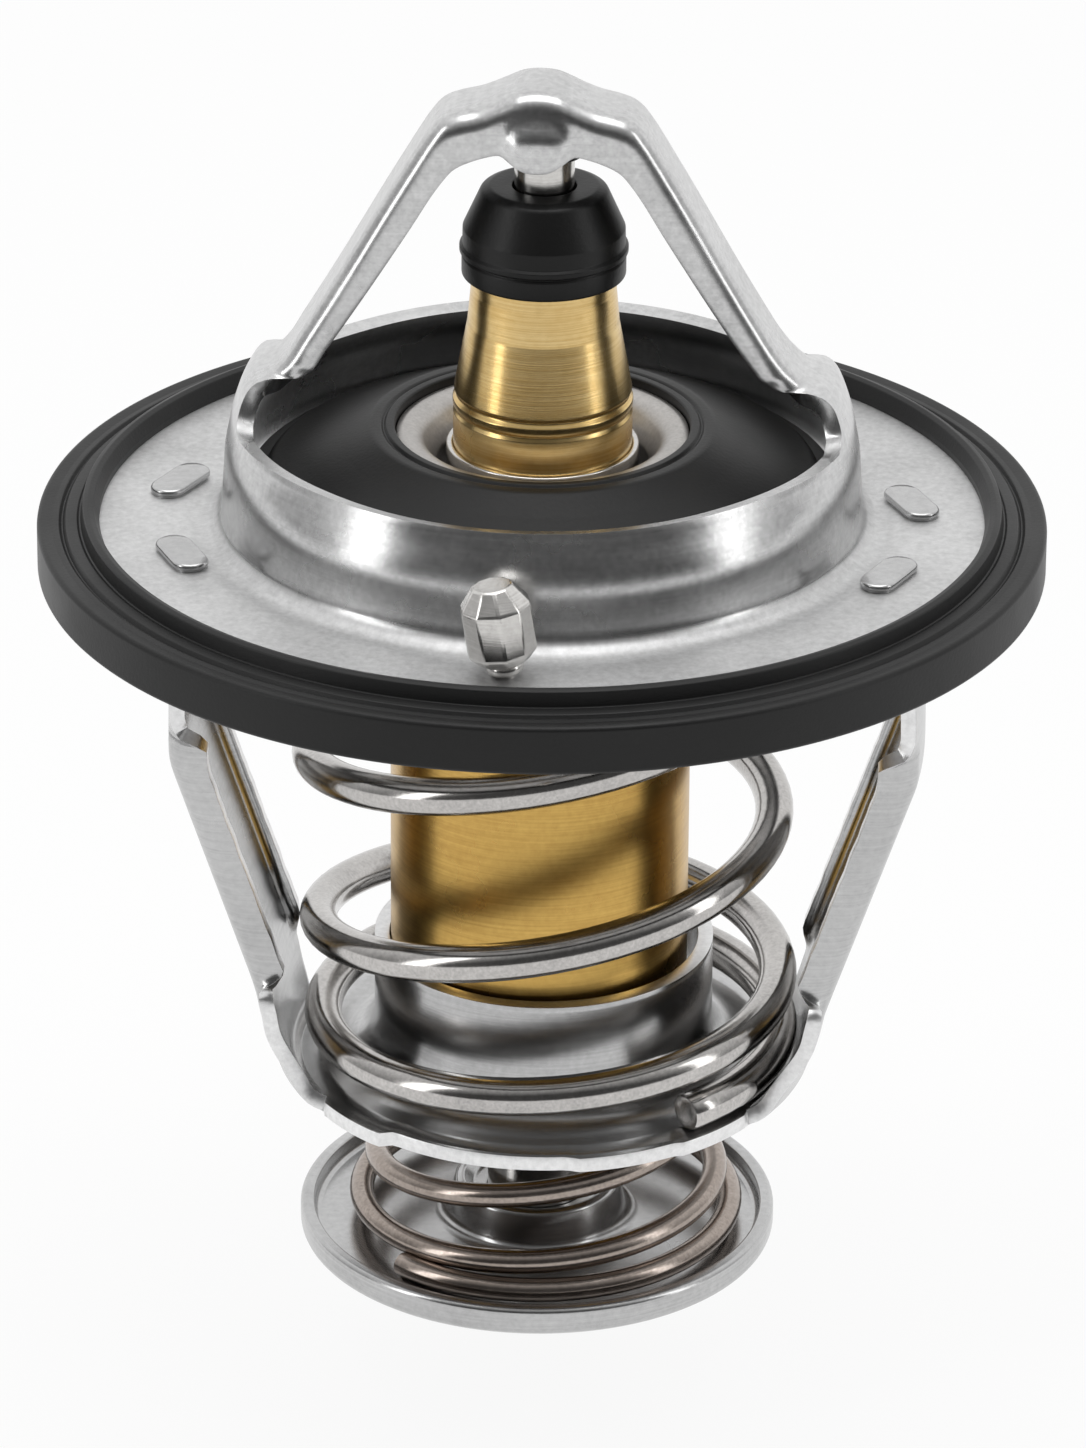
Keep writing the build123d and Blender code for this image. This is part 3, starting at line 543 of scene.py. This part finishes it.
def leg_section(z, columns, front):
    """Half a leg's outer cross-section at one height: the flat wall and the lip turned in beside it."""
    lip_bend, bow = 1.7, 0.023
    straight = 0.75 if front else 0.1
    foot = 18.3 if front else 16.6
    fold = smooth_step(z, foot, foot + 2.4) * (1 - smooth_step(z, 35.0, 37.5))
    reach = smooth_step(z, foot + 0.9, foot + 2.5) * (1 - smooth_step(z, 35.3, 36.3))
    flat = LEG_HALF_WIDTH - lip_bend
    bend = lip_bend * (math.pi / 2 - bow * flat)
    length = LEG_HALF_WIDTH + (flat + bend + straight - LEG_HALF_WIDTH) * reach
    length += 0.07 * noise.noise((z * 0.9, 0.0, 3.0 if front else 8.0))

    def heading(at):
        in_bend = min(max(at - flat, 0.0), bend)
        past_bend = max(at - flat - bend, 0.0)
        return bow * (min(at, flat) + (1 - fold) * (in_bend + past_bend)) + fold * in_bend / lip_bend

    return bent_section(length, columns, heading)


def leg_angles(radius, columns):
    """Azimuths of a leg's columns on a circle, from its front edge to its back edge."""
    front = math.asin((LEG_MIDDLE - LEG_HALF_WIDTH) / radius)
    back = math.asin((LEG_MIDDLE + LEG_HALF_WIDTH) / radius)
    return [front + (back - front) * k / (2 * columns) for k in range(2 * columns + 1)]


def leg_row(build, side, radius, z, columns):
    """A row of vertices across one leg's outer face, round at the foot and flat above it."""
    halves = (leg_section(z, columns, True), leg_section(z, columns, False))
    roundness = 1 - smooth_step(z, 12.0, 17.0)
    row = []
    for k, angle in enumerate(leg_angles(radius, columns)):
        from_middle = k - columns
        across, depth = halves[0 if from_middle < 0 else 1][abs(from_middle)]
        flat = Vector((radius - depth, LEG_MIDDLE + math.copysign(across, from_middle)))
        place = flat.lerp(Vector((radius * math.cos(angle), radius * math.sin(angle))), roundness)
        askew = (BASE_SHIFT + 0.2 * smooth_step(z, 12.0, 18.0)) * (1 - smooth_step(z, 38.0, 46.0))
        row.append(build.verts.new((side * place.x + askew, place.y, z)))
    return row if side > 0 else row[::-1]


def lower_stamping():
    """Legs with lips, seat and neck, pressed from one sheet and drawn here from its outer face."""
    build = bmesh.new()
    profile = resampled(rounded(UNDER_LINE, 8), 0.4)
    leg_columns, gap_columns = 28, 60
    leg_rows = [p for p in profile if p.x > RIM_RADIUS]
    base_rows = [p for p in profile if p.x <= RIM_RADIUS]
    outer = base_rows[0].x

    right = leg_angles(RIM_RADIUS, leg_columns)
    left = [math.pi - a for a in reversed(right)]
    rear_gap = left[0] - right[-1]
    front_gap = 2 * math.pi + right[0] - left[-1]
    behind = [right[-1] + rear_gap * k / gap_columns for k in range(1, gap_columns)]
    ahead = [left[-1] + front_gap * k / gap_columns for k in range(1, gap_columns)]
    angles = right + behind + left + ahead
    on_leg = [True] * len(right) + [False] * len(behind) + [True] * len(left) + [False] * len(ahead)
    base = []
    for point in base_rows:
        ring = []
        for a, held in zip(angles, on_leg):
            reach = RIM_RADIUS if held else rim_radius(a)
            r = point.x + (reach - outer) * smooth_step(point.x, 12.9, outer)
            ring.append(build.verts.new((r * math.cos(a) + BASE_SHIFT, r * math.sin(a), point.y)))
        base.append(ring)
    for low, high in zip(base, base[1:]):
        for i in range(len(angles)):
            j = (i + 1) % len(angles)
            build.faces.new((low[i], low[j], high[j], high[i]))

    for first, side in ((0, 1), (len(right) + len(behind), -1)):
        rows = [leg_row(build, side, point.x, point.y, leg_columns) for point in leg_rows]
        rows.append(base[0][first:first + len(right)])
        grid_faces(build, rows)
    bmesh.ops.recalc_face_normals(build, faces=build.faces)
    under_seat = Vector((13.2, 0, SEAT - FRAME_SHEET))
    seat_face = min(build.faces, key=lambda f: (f.calc_center_median() - under_seat).length)
    if seat_face.normal.z > 0:
        bmesh.ops.reverse_faces(build, faces=build.faces)
    # The cut edges take the sheared-edge finish, whose near-white colour is partly a painted highlight.
    return new_piece("leg_frame", build, "frame", PRESSED_STEEL,
                     ["lower_frame"], crease=60, bevel=0.13, solid=FRAME_SHEET, cut=SHEARED_EDGE_AND_GLINT)


def staked_pads():
    """The four tab ends, upset over the flange as domed slots."""
    build = bmesh.new()
    width, length, height = 2.2, 4.8, 0.5
    end_radius = width / 2
    end_centre = (length - width) / 2
    for azimuth, facing in ((7.5, 26), (-20.2, -26), (171.8, 154), (200, 206)):
        outline = []
        for end in (1, -1):
            for k in range(13):
                a = math.pi * k / 12 + (0 if end == 1 else math.pi)
                outline.append((end_radius * math.cos(a), end * end_centre + end_radius * math.sin(a)))
        place = Matrix.Rotation(math.radians(azimuth), 4, "Z")
        place @= Matrix.Translation((LEG_RADIUS - FRAME_SHEET / 2, 0, FLANGE_TOP))
        place @= Matrix.Rotation(math.radians(facing - azimuth), 4, "Z")
        rings = []
        for shrink, rise in ((0.88, -0.2), (0.88, 0.08), (1.0, 0.18), (1.0, 0.34), (0.95, 0.44),
                             (0.86, height), (0.4, height + 0.01)):
            ring = []
            for x, y in outline:
                end_y = math.copysign(end_centre, y)
                inset_y = end_y + (y - end_y) * shrink
                ring.append(build.verts.new(place @ Vector((x * shrink, inset_y, rise))))
            rings.append(ring)
        for low, high in zip(rings, rings[1:]):
            for i in range(len(outline)):
                j = (i + 1) % len(outline)
                build.faces.new((low[i], low[j], high[j], high[i]))
        build.faces.new(rings[-1])
        build.faces.new(list(reversed(rings[0])))
    return new_piece("staked_pads", build, "frame", PRESSED_STEEL, None, crease=50)


# Rubber seal round the flange

def seat_seal():
    """Moulded ring on the flange's rim, with its land, groove, band and inner rib."""
    bottom = SEAL_LOW[2]
    land = FLANGE_TOP + 0.2
    top = SEAL_HIGH[2]
    inner, groove = 26.3, 28.0
    outline = rounded([
        (groove, FLANGE_UNDERSIDE),
        (inner, FLANGE_UNDERSIDE),
        (inner, bottom + 0.5),
        (26.8, bottom, 0.2),
        (SEAL_RADIUS, bottom, 0.28),
        (SEAL_RADIUS, land, 0.3),
        (29.1, land - 0.1, 0.4),
        (28.72, land - 0.04, 0.12),
        (28.5, land - 0.32, 0.08),
        (28.28, land + 0.02, 0.12),
        (27.62, land + 0.1, 0.15),
        (27.42, land - 0.08, 0.1),
        (27.28, top - 0.12, 0.15),
        (26.95, top, 0.18),
        (26.62, top - 0.1, 0.15),
        (inner, FLANGE_TOP + 0.4, 0.1),
        (inner, FLANGE_TOP),
        (groove, FLANGE_TOP),
    ])
    return new_piece("rim_seal", turned(outline, 256), "frame", SEAL_RUBBER, ["seat_seal"],
                     crease=50)


# Springs

def ramp_integral(x, low, high):
    """Integral of smooth_step from low to x."""
    t = min(max((x - low) / (high - low), 0.0), 1.0)
    return (high - low) * (t**3 - t**4 / 2) + max(x - high, 0.0)


def wound_wire(turns, wire, start, heights, closed_pitch, opening, radii, shifts, lean):
    """A bmesh tube along a compression spring's line, its ends cut square with a slight burr.

    The end coils are closed, and the pitch opens between the two turns that opening gives. Radii and
    shifts along X run from the lower end to the upper, and lean tilts the coils between the ends.
    """
    per_turn = 72
    low, high = heights
    closed, opened = opening
    rise = (high - low - closed_pitch * turns) / (turns - closed - opened)
    count = round(turns * per_turn)
    line = []
    for i in range(count + 1):
        u = turns * i / count
        climb = ramp_integral(u, closed, opened) - ramp_integral(u, turns - opened, turns - closed)
        z = low + closed_pitch * u + rise * climb
        angle = math.radians(start) + 2 * math.pi * u
        middle = smooth_step(u, 0.3, opened) * smooth_step(turns - u, 0.3, opened)
        share = (z - low) / (high - low)
        radius = radii[0] + (radii[1] - radii[0]) * u / turns
        shift = shifts[0] + (shifts[1] - shifts[0]) * share
        tilt = middle * (lean[0] * math.cos(angle) + lean[1] * math.sin(angle))
        line.append(Vector((radius * math.cos(angle) + shift, radius * math.sin(angle), z + tilt)))
    build = bmesh.new()
    around = 28
    rings = []
    for i, point in enumerate(line):
        tangent = (line[min(i + 1, count)] - line[max(i - 1, 0)]).normalized()
        side = tangent.cross(Vector((0, 0, 1))).normalized()
        up = side.cross(tangent)
        ring = []
        for k in range(around):
            a = 2 * math.pi * k / around
            ring.append(build.verts.new(point + wire / 2 * (math.cos(a) * side + math.sin(a) * up)))
        rings.append(ring)
    for low_ring, high_ring in zip(rings, rings[1:]):
        for k in range(around):
            m = (k + 1) % around
            build.faces.new((low_ring[k], low_ring[m], high_ring[m], high_ring[k]))
    for ring, centre, neighbour in ((rings[0], line[0], line[1]), (rings[-1], line[-1], line[-2])):
        along = (centre - neighbour).normalized()
        loops = [ring]
        for scale, reach in ((0.94, 0.1), (0.8, 0.13), (0.4, 0.05)):
            loops.append([build.verts.new(centre + (v.co - centre) * scale + along * reach) for v in ring])
        for a, b in zip(loops, loops[1:]):
            for k in range(around):
                m = (k + 1) % around
                build.faces.new((a[k], a[m], b[m], b[k]))
        build.faces.new(loops[-1])
    bmesh.ops.recalc_face_normals(build, faces=build.faces)
    return build


def main_spring():
    """The large spring, standing a little askew between its seat and the valve's plate."""
    wire = 2.3
    heights = (SEAT + wire / 2 + 0.03, PLATE_LOW[2] - wire / 2 - 0.02)
    build = wound_wire(turns=4.81, wire=wire, start=-51, heights=heights, closed_pitch=2.32,
                       opening=(1.0, 1.22), radii=(13.9, 13.9), shifts=(0.8, -0.45), lean=(0.97, -0.42))
    piece = new_piece("large_spring", build, "frame", SPRING_WIRE, ["main_spring"])
    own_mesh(piece)
    return piece


def bypass_spring():
    """The small conical spring between the cup and the bypass disc."""
    wire = 1.5
    heights = (DISC_SHEET + wire / 2 + 0.02, CUP_LOW[2] - wire / 2 - 0.02)
    build = wound_wire(turns=4.5, wire=wire, start=-132, heights=heights, closed_pitch=1.2,
                       opening=(1.0, 1.6), radii=(11.95, 7.7), shifts=(0.3, 0.3), lean=(0.73, -0.34))
    piece = new_piece("conical_spring", build, "element", SMALL_SPRING_WIRE,
                      ["bypass_spring"])
    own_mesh(piece)
    return piece


# Element

def guide_body():
    """The turned brass guide, with the bead and grooves cut round its foot."""
    bead = PLATE_TOP + 6.05
    top = bead + 0.6 + 4.3
    neck_top = top + 3.5
    bore, foot = 1.9, 50.0
    r = GUIDE_RADIUS
    outline = rounded([
        (bore, foot),
        (r - 0.3, foot),
        (r, PLATE_TOP + 0.05),
        (r, bead - 0.75, 0.1),
        (r - 0.14, bead - 0.5, 0.12),
        (r + 0.03, bead - 0.22, 0.12),
        (r + 0.03, bead + 0.12, 0.12),
        (r - 0.2, bead + 0.38, 0.12),
        (r - 0.04, bead + 0.7, 0.15),
        (r - 0.82, top, 1.5),
        (4.3, neck_top - 1.4, 0.3),
        (4.3, neck_top),
        (3.7, neck_top),
        (3.7, GUIDE_TOP),
        (bore, GUIDE_TOP),
    ])
    return new_piece("brass_guide", turned(outline, 160), "element", TURNED_BRASS, ["guide"])


def rubber_boot():
    """The rubber boot at the guide's top: band, thin ribs, shoulder and coned crown."""
    low = BOOT_LOW[2]
    outline = rounded([
        (4.32, low),
        (4.84, low, 0.15),
        (4.84, 64.62, 0.1),
        (4.7, 64.78, 0.06),
        (4.97, 64.92, 0.06),
        (4.97, 65.22, 0.08),
        (4.8, 65.38, 0.06),
        (4.78, 66.35, 0.35),
        (3.72, 68.72, 0.5),
        (3.2, BOOT_HIGH[2], 0.5),
        (1.89, BOOT_HIGH[2], 0.1),
        (1.89, 68.0),
        (3.0, 67.6),
        (3.72, 66.32),
        (3.72, 63.92),
        (4.32, 63.88),
    ])
    return new_piece("piston_boot", turned(outline, 160), "element", BOOT_RUBBER, ["boot"],
                     crease=50)


def wax_cup():
    """The brass cup of the element."""
    bottom, top = CUP_LOW[2], CUP_HIGH[2]
    mouth, inside = 6.92, 7.2
    crimp = top - 1.0
    inner_floor = bottom + 1.6
    outline = rounded([
        (0, bottom),
        (CUP_RADIUS, bottom, 1.4),
        (CUP_RADIUS, top, 0.6),
        (mouth, top),
        (mouth, crimp),
        (inside, crimp),
        (inside, inner_floor),
        (0, inner_floor),
    ], 8)
    return new_piece("element_cup", turned(outline, 192), "element", DRAWN_BRASS, ["wax_cup"],
                     crease=50)


def valve_facing():
    """Rubber facing of the main valve: skirt, sealing lip, dome and the ring round the washer."""
    top = PLATE_TOP + 4.4
    outline = rounded([
        (7.0, PLATE_TOP + 0.02),
        (16.92, PLATE_TOP + 0.02),
        (16.92, PLATE_TOP - 0.68),
        (17.6, PLATE_TOP - 0.68, 0.3),
        (17.6, PLATE_TOP + 0.67, 0.3),
        (16.55, PLATE_TOP + 0.85, 0.2),
        (16.4, PLATE_TOP + 1.55, 1.2),
        (12.0, top - 0.9, 4.0),
        (10.2, top - 0.06, 0.9),
        (9.6, top - 0.05, 0.25),
        (9.42, top - 0.22, 0.08),
        (9.25, top, 0.12),
        (8.75, top, 0.16),
        (8.75, PLATE_TOP + 3.3),
        (7.0, PLATE_TOP + 1.4),
    ], 8)
    return new_piece("rubber_facing", turned(outline, 224), "element", VALVE_RUBBER,
                     ["valve_seal"], crease=50)


def cup_washer():
    """The drawn washer that clamps the facing, flared out at its top."""
    top = PLATE_TOP + 3.95
    outline = rounded([
        (6.25, PLATE_TOP + 0.02),
        (6.25, top - 2.0, 0.8),
        (7.3, top, 1.3),
        (8.3, top + 0.03, 0.5),
        (8.68, top - 0.08, 0.1),
        (8.68, top - 0.6),
        (7.5, top - 0.6, 0.7),
        (6.85, top - 1.9, 0.4),
        (6.85, PLATE_TOP + 0.02),
    ], 6)
    return new_piece("clamp_washer", turned(outline, 160), "element", WASHER_STEEL,
                     ["valve_washer"], crease=50)


def guide_sleeve():
    """The thin sleeve pressed on the guide inside the washer."""
    inner, outer = 5.32, 5.71
    bottom, top = PLATE_TOP + 0.02, PLATE_TOP + 3.25
    outline = rounded([
        (inner, bottom),
        (outer, bottom),
        (outer, top, 0.12),
        (inner, top, 0.12),
        (inner, PLATE_TOP + 1.0),
    ], 3)
    return new_piece("guide_sleeve", turned(outline, 128), "element", TURNED_STEEL,
                     ["retaining_sleeve"])


def piston_pin():
    """The polished piston."""
    outline = rounded([
        (0, PISTON_LOW[2]),
        (PISTON_RADIUS, PISTON_LOW[2], 0.2),
        (PISTON_RADIUS, PISTON_HIGH[2], 0.2),
        (0, PISTON_HIGH[2]),
    ], 4)
    return new_piece("piston_pin", turned(outline, 96), "frame", TURNED_STEEL, ["piston"])


def dished_disc():
    """The bypass disc, with its turned-up rim and raised hub."""
    rim = DISC_RADIUS
    outline = rounded([
        (3.13, 2.7, 0.1),
        (3.9, 2.75, 0.4),
        (4.55, 3.5, 0.25),
        (5.05, 3.35, 0.35),
        (5.6, DISC_SHEET, 0.9),
        (rim - 0.9, DISC_SHEET, 0.4),
        (rim - 0.85, 1.95, 0.2),
        (rim, 1.95, 0.35),
        (rim, 0, 0.8),
        (4.85, 0, 0.5),
        (4.3, 2.0, 0.4),
        (3.13, 1.95),
    ], 6)
    return new_piece("dished_disc", turned(outline, 224), "bypass", PRESSED_STEEL,
                     ["bypass_disc"], crease=50)


def disc_rod():
    """The rod that carries the bypass disc."""
    radius = 3.05
    top = CUP_LOW[2] - 0.02
    outline = rounded([
        (0, ROD_BOTTOM),
        (radius, ROD_BOTTOM, 0.15),
        (radius, top),
        (0, top),
    ], 4)
    return new_piece("disc_rod", turned(outline, 128), "element", TURNED_STEEL,
                     ["bypass_rod"])


# Jiggle pin

PIN_LEAN = math.radians(9)
PIN_COLLAR_RADIUS = 1.08
PIN_COLLAR_HEIGHT = 0.75


def jiggle_place():
    """Placement of the jiggle pin's leaning axis, its zero where the collar sits on the flange."""
    angle, radius = math.radians(-92), 22.6
    lift = PIN_COLLAR_RADIUS * math.sin(PIN_LEAN) + 0.02
    foot = Vector((radius * math.cos(angle), radius * math.sin(angle), FLANGE_TOP + lift))
    return Matrix.Translation(foot) @ JIGGLE_AXIS.to_track_quat("Z", "Y").to_matrix().to_4x4()


def jiggle_weight():
    """The faceted weight, its facets' edges softened by tumbling."""
    facets, first = 10, 0.2
    build = bmesh.new()
    corners = [2 * math.pi * k / facets + first for k in range(facets)]
    rings = []
    for radius, z in ((0.85, 0.0), (1.5, 0.02), (2.1, 0.7), (2.1, 3.5), (1.2, 4.7), (0.6, 4.72)):
        rings.append([build.verts.new((radius * math.cos(a), radius * math.sin(a), z)) for a in corners])
    for low, high in zip(rings, rings[1:]):
        for k in range(facets):
            m = (k + 1) % facets
            build.faces.new((low[k], low[m], high[m], high[k]))
    build.faces.new(rings[-1])
    build.faces.new(list(reversed(rings[0])))
    build.transform(jiggle_place() @ Matrix.Translation((0, 0, PIN_COLLAR_HEIGHT + 0.02)))
    piece = new_piece("faceted_weight", build, "jiggle", TURNED_STEEL, ["jiggle_weight"],
                      crease=10, bevel=0.12)
    piece.modifiers["edges"].angle_limit = math.radians(15)
    return piece


def jiggle_pin():
    """The pin under the weight: rounded collar, shank and valve head."""
    head_top = -1.0 - 2.6 * math.sin(PIN_LEAN) - 0.9
    head_bottom = head_top - 1.7
    shank, spigot, spigot_top = 0.5, 0.78, 3.1
    outline = rounded([
        (0, head_bottom),
        (0.8, head_bottom, 0.2),
        (1.3, head_top - 0.9, 0.1),
        (1.3, head_top - 0.5, 0.1),
        (shank, head_top),
        (shank, 0.0),
        (PIN_COLLAR_RADIUS, 0.0, 0.35),
        (PIN_COLLAR_RADIUS, PIN_COLLAR_HEIGHT, 0.35),
        (spigot, PIN_COLLAR_HEIGHT),
        (spigot, spigot_top),
        (0, spigot_top),
    ], 5)
    return new_piece("jiggle_stem", turned(outline, 64, place=jiggle_place()), "jiggle", TURNED_STEEL,
                     ["jiggle_pin"])


def hidden_pieces():
    """Finishes of the pieces inside, which stay as their solids."""
    finishes = {
        "piston_ring": BOOT_RUBBER,
        "wax_charge": WAX,
        "diaphragm": BOOT_RUBBER,
        "transfer_plug": BOOT_RUBBER,
        "anti_extrusion_disc": HARD_DISC,
        "valve_plate": PRESSED_STEEL,
        "rod_clip": SPRING_WIRE,
    }
    for node, material in finishes.items():
        piece = NODES[node]
        piece.data.materials.clear()
        piece.data.materials.append(material)


# Studio

def background_rays(tree):
    """A node and socket that are 1 for rays of the camera, of gloss and of transmission."""
    rays = add_node(tree, "ShaderNodeLightPath")
    mirrored = add_node(tree, "ShaderNodeMath", {0: (rays, "Is Camera Ray"), 1: (rays, "Is Glossy Ray")},
                        operation="MAXIMUM")
    seen = add_node(tree, "ShaderNodeMath", {0: (mirrored, 0), 1: (rays, "Is Transmission Ray")},
                    operation="MAXIMUM")
    return seen, 0


def stage_piece(name, build, material):
    """A piece of the studio, which isn't part of the object."""
    mesh = bpy.data.meshes.new(name)
    build.to_mesh(mesh)
    build.free()
    piece = bpy.data.objects.new(name, mesh)
    bpy.context.scene.collection.objects.link(piece)
    piece.data.materials.append(material)
    return piece


def white_floor():
    """A white paper floor with the object's soft shadow, low enough for the bypass disc's travel."""
    build = bmesh.new()
    half = 1.5
    corners = ((-half, -half, 0), (half, -half, 0), (half, half, 0), (-half, half, 0))
    build.faces.new([build.verts.new(c) for c in corners])
    material, tree, shader = new_material("white paper floor")
    shader.inputs["Base Color"].default_value = hex_colour("f4f4f4")
    shader.inputs["Roughness"].default_value = 0.9
    white = add_node(tree, "ShaderNodeEmission", {"Color": hex_colour("ffffff"), "Strength": 1.0})
    paper = add_node(tree, "ShaderNodeMixShader", {0: 0.9, 1: (shader, 0), 2: (white, 0)})
    seen = add_node(tree, "ShaderNodeMixShader", {0: background_rays(tree), 1: (shader, 0), 2: (paper, 0)})
    output = next(n for n in tree.nodes if n.type == "OUTPUT_MATERIAL")
    tree.links.new(seen.outputs[0], output.inputs["Surface"])
    floor = stage_piece("floor", build, material)
    gap = 0.4
    floor.location.z = -(VALVE_TRAVEL + gap) * MM


# The studio is light on this side, behind and above, in Y and Z
LIGHT_SIDE = Vector((0.0, 0.75, 0.66))


def studio_card():
    """A curved card on the camera's side, dim at its foot and white at its top, which metal mirrors."""
    build = bmesh.new()
    radius = 0.9
    across = [math.radians(a) for a in range(-205, 26, 5)]
    rows = []
    for rise in range(0, 71, 5):
        r, z = radius * math.cos(math.radians(rise)), radius * math.sin(math.radians(rise))
        rows.append([build.verts.new((r * math.cos(a), r * math.sin(a), z)) for a in across])
    grid_faces(build, rows)
    material, tree, shader = new_material("studio card")
    place = add_node(tree, "ShaderNodeTexCoord")
    toward = add_node(tree, "ShaderNodeVectorMath", {0: (place, "Object"), 1: LIGHT_SIDE / radius},
                      operation="DOT_PRODUCT")
    level = add_node(tree, "ShaderNodeMapRange", {0: (toward, "Value"), 1: -0.3, 2: 0.75, 3: 0.08, 4: 1.0})
    glow = add_node(tree, "ShaderNodeEmission", {"Color": hex_colour("ffffff"), "Strength": (level, 0)})
    tree.nodes.remove(shader)
    output = next(n for n in tree.nodes if n.type == "OUTPUT_MATERIAL")
    tree.links.new(glow.outputs[0], output.inputs["Surface"])
    card = stage_piece("studio card", build, material)
    card.visible_camera = False
    card.visible_diffuse = False
    card.visible_shadow = False


def studio_world():
    """White all round for the camera and for gloss, and a soft light from behind and above for matt."""
    world = bpy.data.worlds.new("studio")
    bpy.context.scene.world = world
    world.use_nodes = True
    tree = world.node_tree
    tree.nodes.clear()
    way = add_node(tree, "ShaderNodeTexCoord")
    toward = add_node(tree, "ShaderNodeVectorMath", {0: (way, "Generated"), 1: LIGHT_SIDE},
                      operation="DOT_PRODUCT")
    level = add_node(tree, "ShaderNodeMapRange", {0: (toward, "Value"), 1: -0.3, 2: 0.8, 3: 0.08, 4: 1.0})
    soft = add_node(tree, "ShaderNodeBackground", {"Color": hex_colour("f2f2f2"), "Strength": (level, 0)})
    bright = add_node(tree, "ShaderNodeBackground", {"Color": hex_colour("ffffff"), "Strength": 1.0})
    mix = add_node(tree, "ShaderNodeMixShader", {0: background_rays(tree), 1: (soft, 0), 2: (bright, 0)})
    output = add_node(tree, "ShaderNodeOutputWorld")
    tree.links.new(mix.outputs[0], output.inputs["Surface"])


def softbox(name, place, target, width, height, radiance):
    """A rectangular studio lamp that faces a point, as bright as its radiance says."""
    lamp = bpy.data.lights.new(name, "AREA")
    lamp.shape = "RECTANGLE"
    lamp.size = width
    lamp.size_y = height
    lamp.energy = radiance * math.pi * width * height
    thing = bpy.data.objects.new(name, lamp)
    thing.location = place
    thing.rotation_euler = (Vector(target) - Vector(place)).to_track_quat("-Z", "Y").to_euler()
    bpy.context.scene.collection.objects.link(thing)


def lamps():
    """A large soft lamp above, and a tall one at each side."""
    centre = (0, 0, 0.04)
    softbox("top lamp", (0.0, -0.02, 0.6), centre, 0.5, 0.35, 2.2)
    softbox("left lamp", (-0.55, -0.3, 0.2), centre, 0.14, 0.7, 3.5)
    softbox("right lamp", (0.6, -0.18, 0.2), centre, 0.12, 0.7, 2.6)


def photo_camera():
    """The camera at the photograph's place: its distance, height and small roll were fitted to it."""
    target = Vector((0.15, 0.0, 34.11)) * MM
    distance = 500 * MM
    azimuth, elevation, roll = (math.radians(a) for a in (3.0, 25.26, 0.43))
    back = Vector((math.sin(azimuth) * math.cos(elevation), -math.cos(azimuth) * math.cos(elevation),
                   math.sin(elevation)))
    lens = bpy.data.cameras.new("photo camera")
    lens.sensor_fit = "VERTICAL"
    lens.sensor_height = 36
    lens.sensor_width = 36
    lens.lens = 206.6
    lens.clip_start = 0.01
    camera = bpy.data.objects.new("photo camera", lens)
    camera.location = target + back * distance
    turn = (-back).to_track_quat("-Z", "Y") @ Euler((0, 0, roll)).to_quaternion()
    camera.rotation_euler = turn.to_euler()
    bpy.context.scene.collection.objects.link(camera)
    bpy.context.scene.camera = camera


upper_stamping()
crown_boss()
lower_stamping()
staked_pads()
seat_seal()
main_spring()
bypass_spring()
guide_body()
rubber_boot()
wax_cup()
valve_facing()
cup_washer()
guide_sleeve()
piston_pin()
dished_disc()
disc_rod()
jiggle_weight()
jiggle_pin()
hidden_pieces()
white_floor()
studio_card()
studio_world()
lamps()
photo_camera()
bpy.context.scene.view_settings.view_transform = "Standard"
